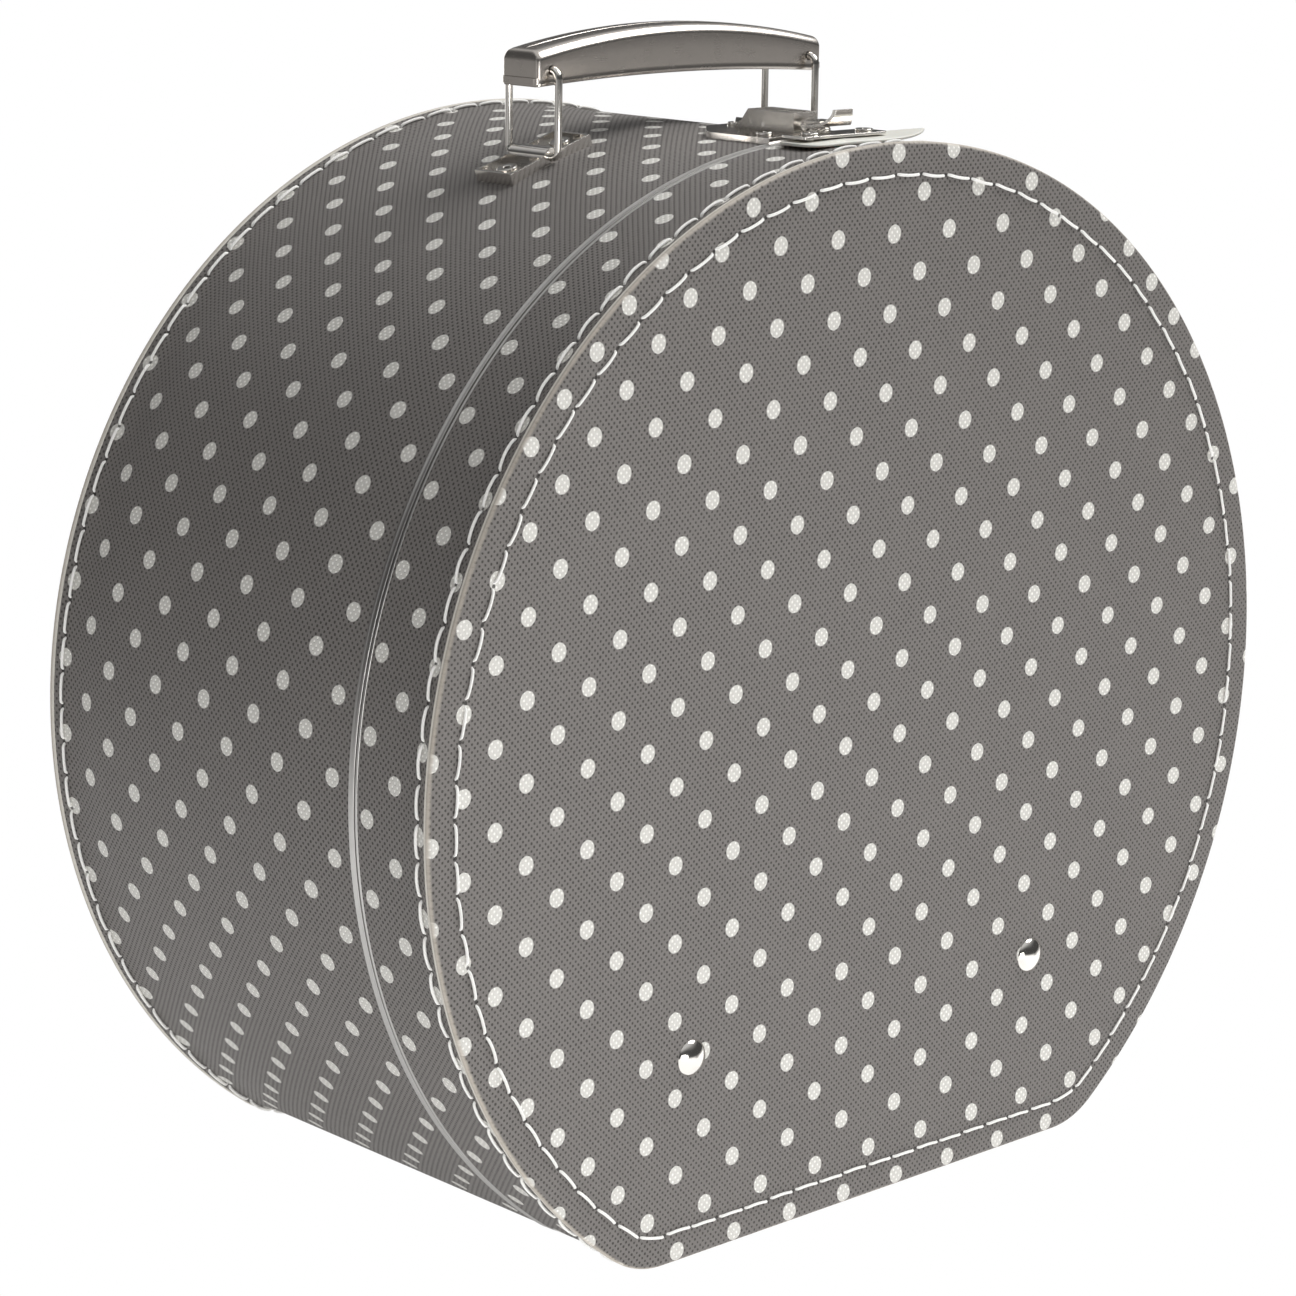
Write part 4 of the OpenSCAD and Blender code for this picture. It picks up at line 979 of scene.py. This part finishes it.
def keeper_pad():
    """Flat pad with a round left end, whose right end thins out to a raised tip."""
    tip_length, corner = 19, 4
    lo, hi = box("keeper_pad")
    x0, x1 = lo[0] + 8, hi[0] + 4.5
    mid_y, half, deep = (lo[1] + hi[1]) / 2, (hi[1] - lo[1]) / 2, hi[2] - lo[2]
    u = np.concatenate([[0, 0.006, 0.02, 0.05, 0.09], np.linspace(0.13, 1, 36) ** 0.9])
    x = x0 + (x1 - x0) * u
    round_in = np.clip((x - x0) / corner, 0, 1)
    taper = np.clip((x - (x1 - tip_length)) / tip_length, 0, 1)
    reach = (half - corner + corner * np.sqrt(1 - (1 - round_in) ** 2)) * (1 - 0.93 * taper ** 2.4)
    lift = lo[2] + 1.5 * np.clip((x - 4) / (x1 - 4), 0, 1) ** 2
    thin_out = 1 - 0.55 * np.clip((x + 2) / (x1 + 2), 0, 1)
    t = 0.78 * deep * thin_out * (0.55 + 0.45 * np.clip((x - x0) / 16, 0, 1))
    ring = np.array([(-1, 0.25), (-1, 0.7), (-0.965, 0.93), (-0.9, 1), (-0.45, 1), (0, 1), (0.45, 1),
                     (0.9, 1), (0.965, 0.93), (1, 0.7), (1, 0.25), (0.97, 0.05), (0.9, 0), (0.4, 0),
                     (-0.4, 0), (-0.9, 0), (-0.97, 0.05)])
    n = len(ring)
    verts = np.stack([np.broadcast_to(x[:, None], (len(x), n)),
                      mid_y - 0.6 * taper[:, None] + ring[None, :, 0] * reach[:, None],
                      lift[:, None] + ring[None, :, 1] * t[:, None]], -1).reshape(-1, 3)
    faces = grid_faces(len(x), n, wrap_cols=True)
    faces += [list(range(n)), list(range((len(x) - 1) * n, len(x) * n))]
    outward(piece("keeper_pad_moulded", verts, faces, PAD, "lid", "pad", ["keeper_pad"], sharp=50))


keeper_pad()


# ---------- stay tapes ----------

def stay_tape(side):
    """A tape from a back rivet to a front rivet, which hangs slack along the base; side is 1 on the right."""
    node = "stay_tape_right" if side > 0 else "stay_tape_left"
    lo, hi = box(node)
    x0, x1 = lo[0], hi[0]
    end = hi[1] - END_SHIFT
    floor_z, leave_z, top_z, thick = lo[2], 44.0, hi[2], 0.6
    ys = np.linspace(-end + thick / 2, end - thick / 2, 61)
    low = floor_z + thick / 2 + (leave_z - floor_z) * (abs(ys) / end) ** 2.3
    path = [(ys[0], z) for z in np.linspace(top_z, low[0] + 1.5, 8)] + list(zip(ys, low))
    path += [(ys[-1], z) for z in np.linspace(low[-1] + 1.5, top_z, 8)]
    path = np.array(path)
    tangent = np.gradient(path, axis=0)
    tangent /= np.linalg.norm(tangent, axis=1)[:, None]
    normal = np.column_stack([-tangent[:, 1], tangent[:, 0]])
    along = np.concatenate([[0], np.cumsum(np.hypot(*np.diff(path, axis=0).T))])
    xs = np.linspace(x0 + 0.05, x1 - 0.05, 9)
    rows, cols = len(path), len(xs)
    verts, uvs = [], []
    for face in (0.5, -0.5):
        p = np.repeat((path + face * (thick - 0.12) * normal)[:, None], cols, axis=1)
        verts.append(np.stack([np.broadcast_to(xs[None], p.shape[:2]), p[..., 0], p[..., 1]], -1))
        uvs.append(np.stack(np.broadcast_arrays((xs - x0)[None], along[:, None]), -1))
    verts = np.concatenate(verts).reshape(-1, 3)
    uvs = np.concatenate(uvs).reshape(-1, 2)
    n = rows * cols
    faces = grid_faces(rows, cols) + [f[::-1] for f in grid_faces(rows, cols, offset=n)]
    rim = [r * cols for r in range(rows)] + [(rows - 1) * cols + c for c in range(1, cols)]
    rim += [r * cols + cols - 1 for r in range(rows - 2, -1, -1)] + [c for c in range(cols - 2, 0, -1)]
    faces += [(a, b, b + n, a + n) for a, b in zip(rim, rim[1:] + rim[:1])]
    obj = outward(piece(node + "_webbing", verts, faces, TAPE, None, "tape", [node], {"run": uvs}, sharp=50))
    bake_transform(obj)


stay_tape(-1)
stay_tape(1)


# ---------- finishes of the CAD nodes that stay ----------

FINISHES = {
    LINING: ("body_wall_lining", "lid_wall_lining"),
    GREY_BOARD: ("back_corner_strip", "front_corner_strip", "body_collar"),
    WASHER: ("bracket_washers", "latch_washers", "keeper_washers"),
    NICKEL: ("hinge_pin_left", "hinge_pin_right", "lever_pin", "spring_pin"),
    SATIN: ("latch_spring",),
    LINER: ("handle_liner",),
}
for material, names in FINISHES.items():
    for n in names:
        mesh = frame["nodes"][n].data
        mesh.materials.clear()
        mesh.materials.append(material)


# ---------- studio ----------

WHITE = (1.0, 1.0, 1.0)


def softbox(name, location, target, size, power):
    light = bpy.data.lights.new(name, "AREA")
    light.shape = "RECTANGLE"
    light.size, light.size_y = size
    light.energy = power
    obj = bpy.data.objects.new(name, light)
    bpy.context.scene.collection.objects.link(obj)
    obj.location = Vector(location)
    obj.rotation_mode = "QUATERNION"
    obj.rotation_quaternion = (Vector(target) - obj.location).to_track_quat("-Z", "Y")


softbox("key", (0.85, -0.42, 1.45), (0, 0.0, 0.14), (0.9, 0.9), 23)
softbox("bounce", (-0.40, -0.80, 0.08), (-0.04, -0.08, 0.05), (0.5, 0.2), 2.5)
softbox("fill", (-1.5, 0.15, 0.35), (0, 0.05, 0.1), (0.5, 0.9), 0.5)
softbox("back", (0.35, 1.35, 0.40), (0, 0.07, 0.12), (0.9, 0.7), 4.0)

# painted light: a pale floor that glows under the box like a lamp, and whose glow and colour both fade darker
# further out
floor_mesh = bpy.data.meshes.new("floor")
floor_mesh.from_pydata([(-12, -12, 0), (12, -12, 0), (12, 12, 0), (-12, 12, 0)], [], [(0, 1, 2, 3)])
floor = bpy.data.objects.new("floor", floor_mesh)
bpy.context.scene.collection.objects.link(floor)
paint = Shader("floor_paint", Roughness=0.8, Specular_IOR_Level=0.1)
speck = paint.noise(paint.place(), 0.01, 2.0)
reach = paint.step(paint.vector("LENGTH", paint.place()), 350.0, 1050.0)
pale = paint.mix(speck, (0.80, 0.80, 0.80), (0.82, 0.82, 0.82))
paint.set(Base_Color=paint.mix(reach, pale, (0.22, 0.21, 0.20)), Emission_Color=WHITE,
          Emission_Strength=paint.math("MULTIPLY_ADD", reach, -0.28, 0.50))
floor_mesh.materials.append(paint.material)
# the open lid swings below the floor, which therefore isn't drawn to the camera
floor.visible_camera = False
floor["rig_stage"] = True

# a dim room with a bright ceiling, seen as white by the camera
world = bpy.data.worlds.new("studio")
bpy.context.scene.world = world
world.use_nodes = True
wn, wl = world.node_tree.nodes, world.node_tree.links
sky = wn["Background"]
toward = wn.new("ShaderNodeSeparateXYZ")
wl.new(wn.new("ShaderNodeTexCoord").outputs["Generated"], toward.inputs[0])
lit = wn.new("ShaderNodeMapRange")
lit.interpolation_type = "SMOOTHSTEP"
for key, value in (("From Min", 0.35), ("From Max", 0.80), ("To Min", 0.07), ("To Max", 0.62)):
    lit.inputs[key].default_value = value
wl.new(toward.outputs[2], lit.inputs["Value"])
wl.new(lit.outputs["Result"], sky.inputs["Strength"])
sky.inputs["Color"].default_value = (*WHITE, 1)
white = wn.new("ShaderNodeBackground")
white.inputs["Color"].default_value = (*WHITE, 1)
white.inputs["Strength"].default_value = 1.0
ray = wn.new("ShaderNodeLightPath")
blend = wn.new("ShaderNodeMixShader")
wl.new(ray.outputs["Is Camera Ray"], blend.inputs[0])
wl.new(sky.outputs[0], blend.inputs[1])
wl.new(white.outputs[0], blend.inputs[2])
wl.new(blend.outputs[0], wn["World Output"].inputs["Surface"])

bpy.context.scene.view_settings.view_transform = "Standard"

# ---------- camera ----------

TARGET = Vector((-0.01025, 0.0, 0.1354))
AZIMUTH, ELEVATION, ROLL = math.radians(-43.2), math.radians(13.18), math.radians(0.76)
DISTANCE = 0.994
LENS = 103.17
flat = math.cos(ELEVATION)
back = Vector((math.sin(AZIMUTH) * flat, -math.cos(AZIMUTH) * flat, math.sin(ELEVATION)))
right = (-back).cross(Vector((0, 0, 1))).normalized()
up = right.cross(-back)
cam_right = right * math.cos(ROLL) + up * math.sin(ROLL)
cam_up = up * math.cos(ROLL) - right * math.sin(ROLL)
cam_data = bpy.data.cameras.new("camera")
cam_data.sensor_width = 36.0
cam_data.lens = LENS
cam_data.clip_start, cam_data.clip_end = 0.05, 60
camera = bpy.data.objects.new("camera", cam_data)
bpy.context.scene.collection.objects.link(camera)
camera.matrix_world = Matrix.Translation(TARGET + back * DISTANCE) @ Matrix(
    (cam_right, cam_up, back)).transposed().to_4x4()
bpy.context.scene.camera = camera

lo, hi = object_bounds()
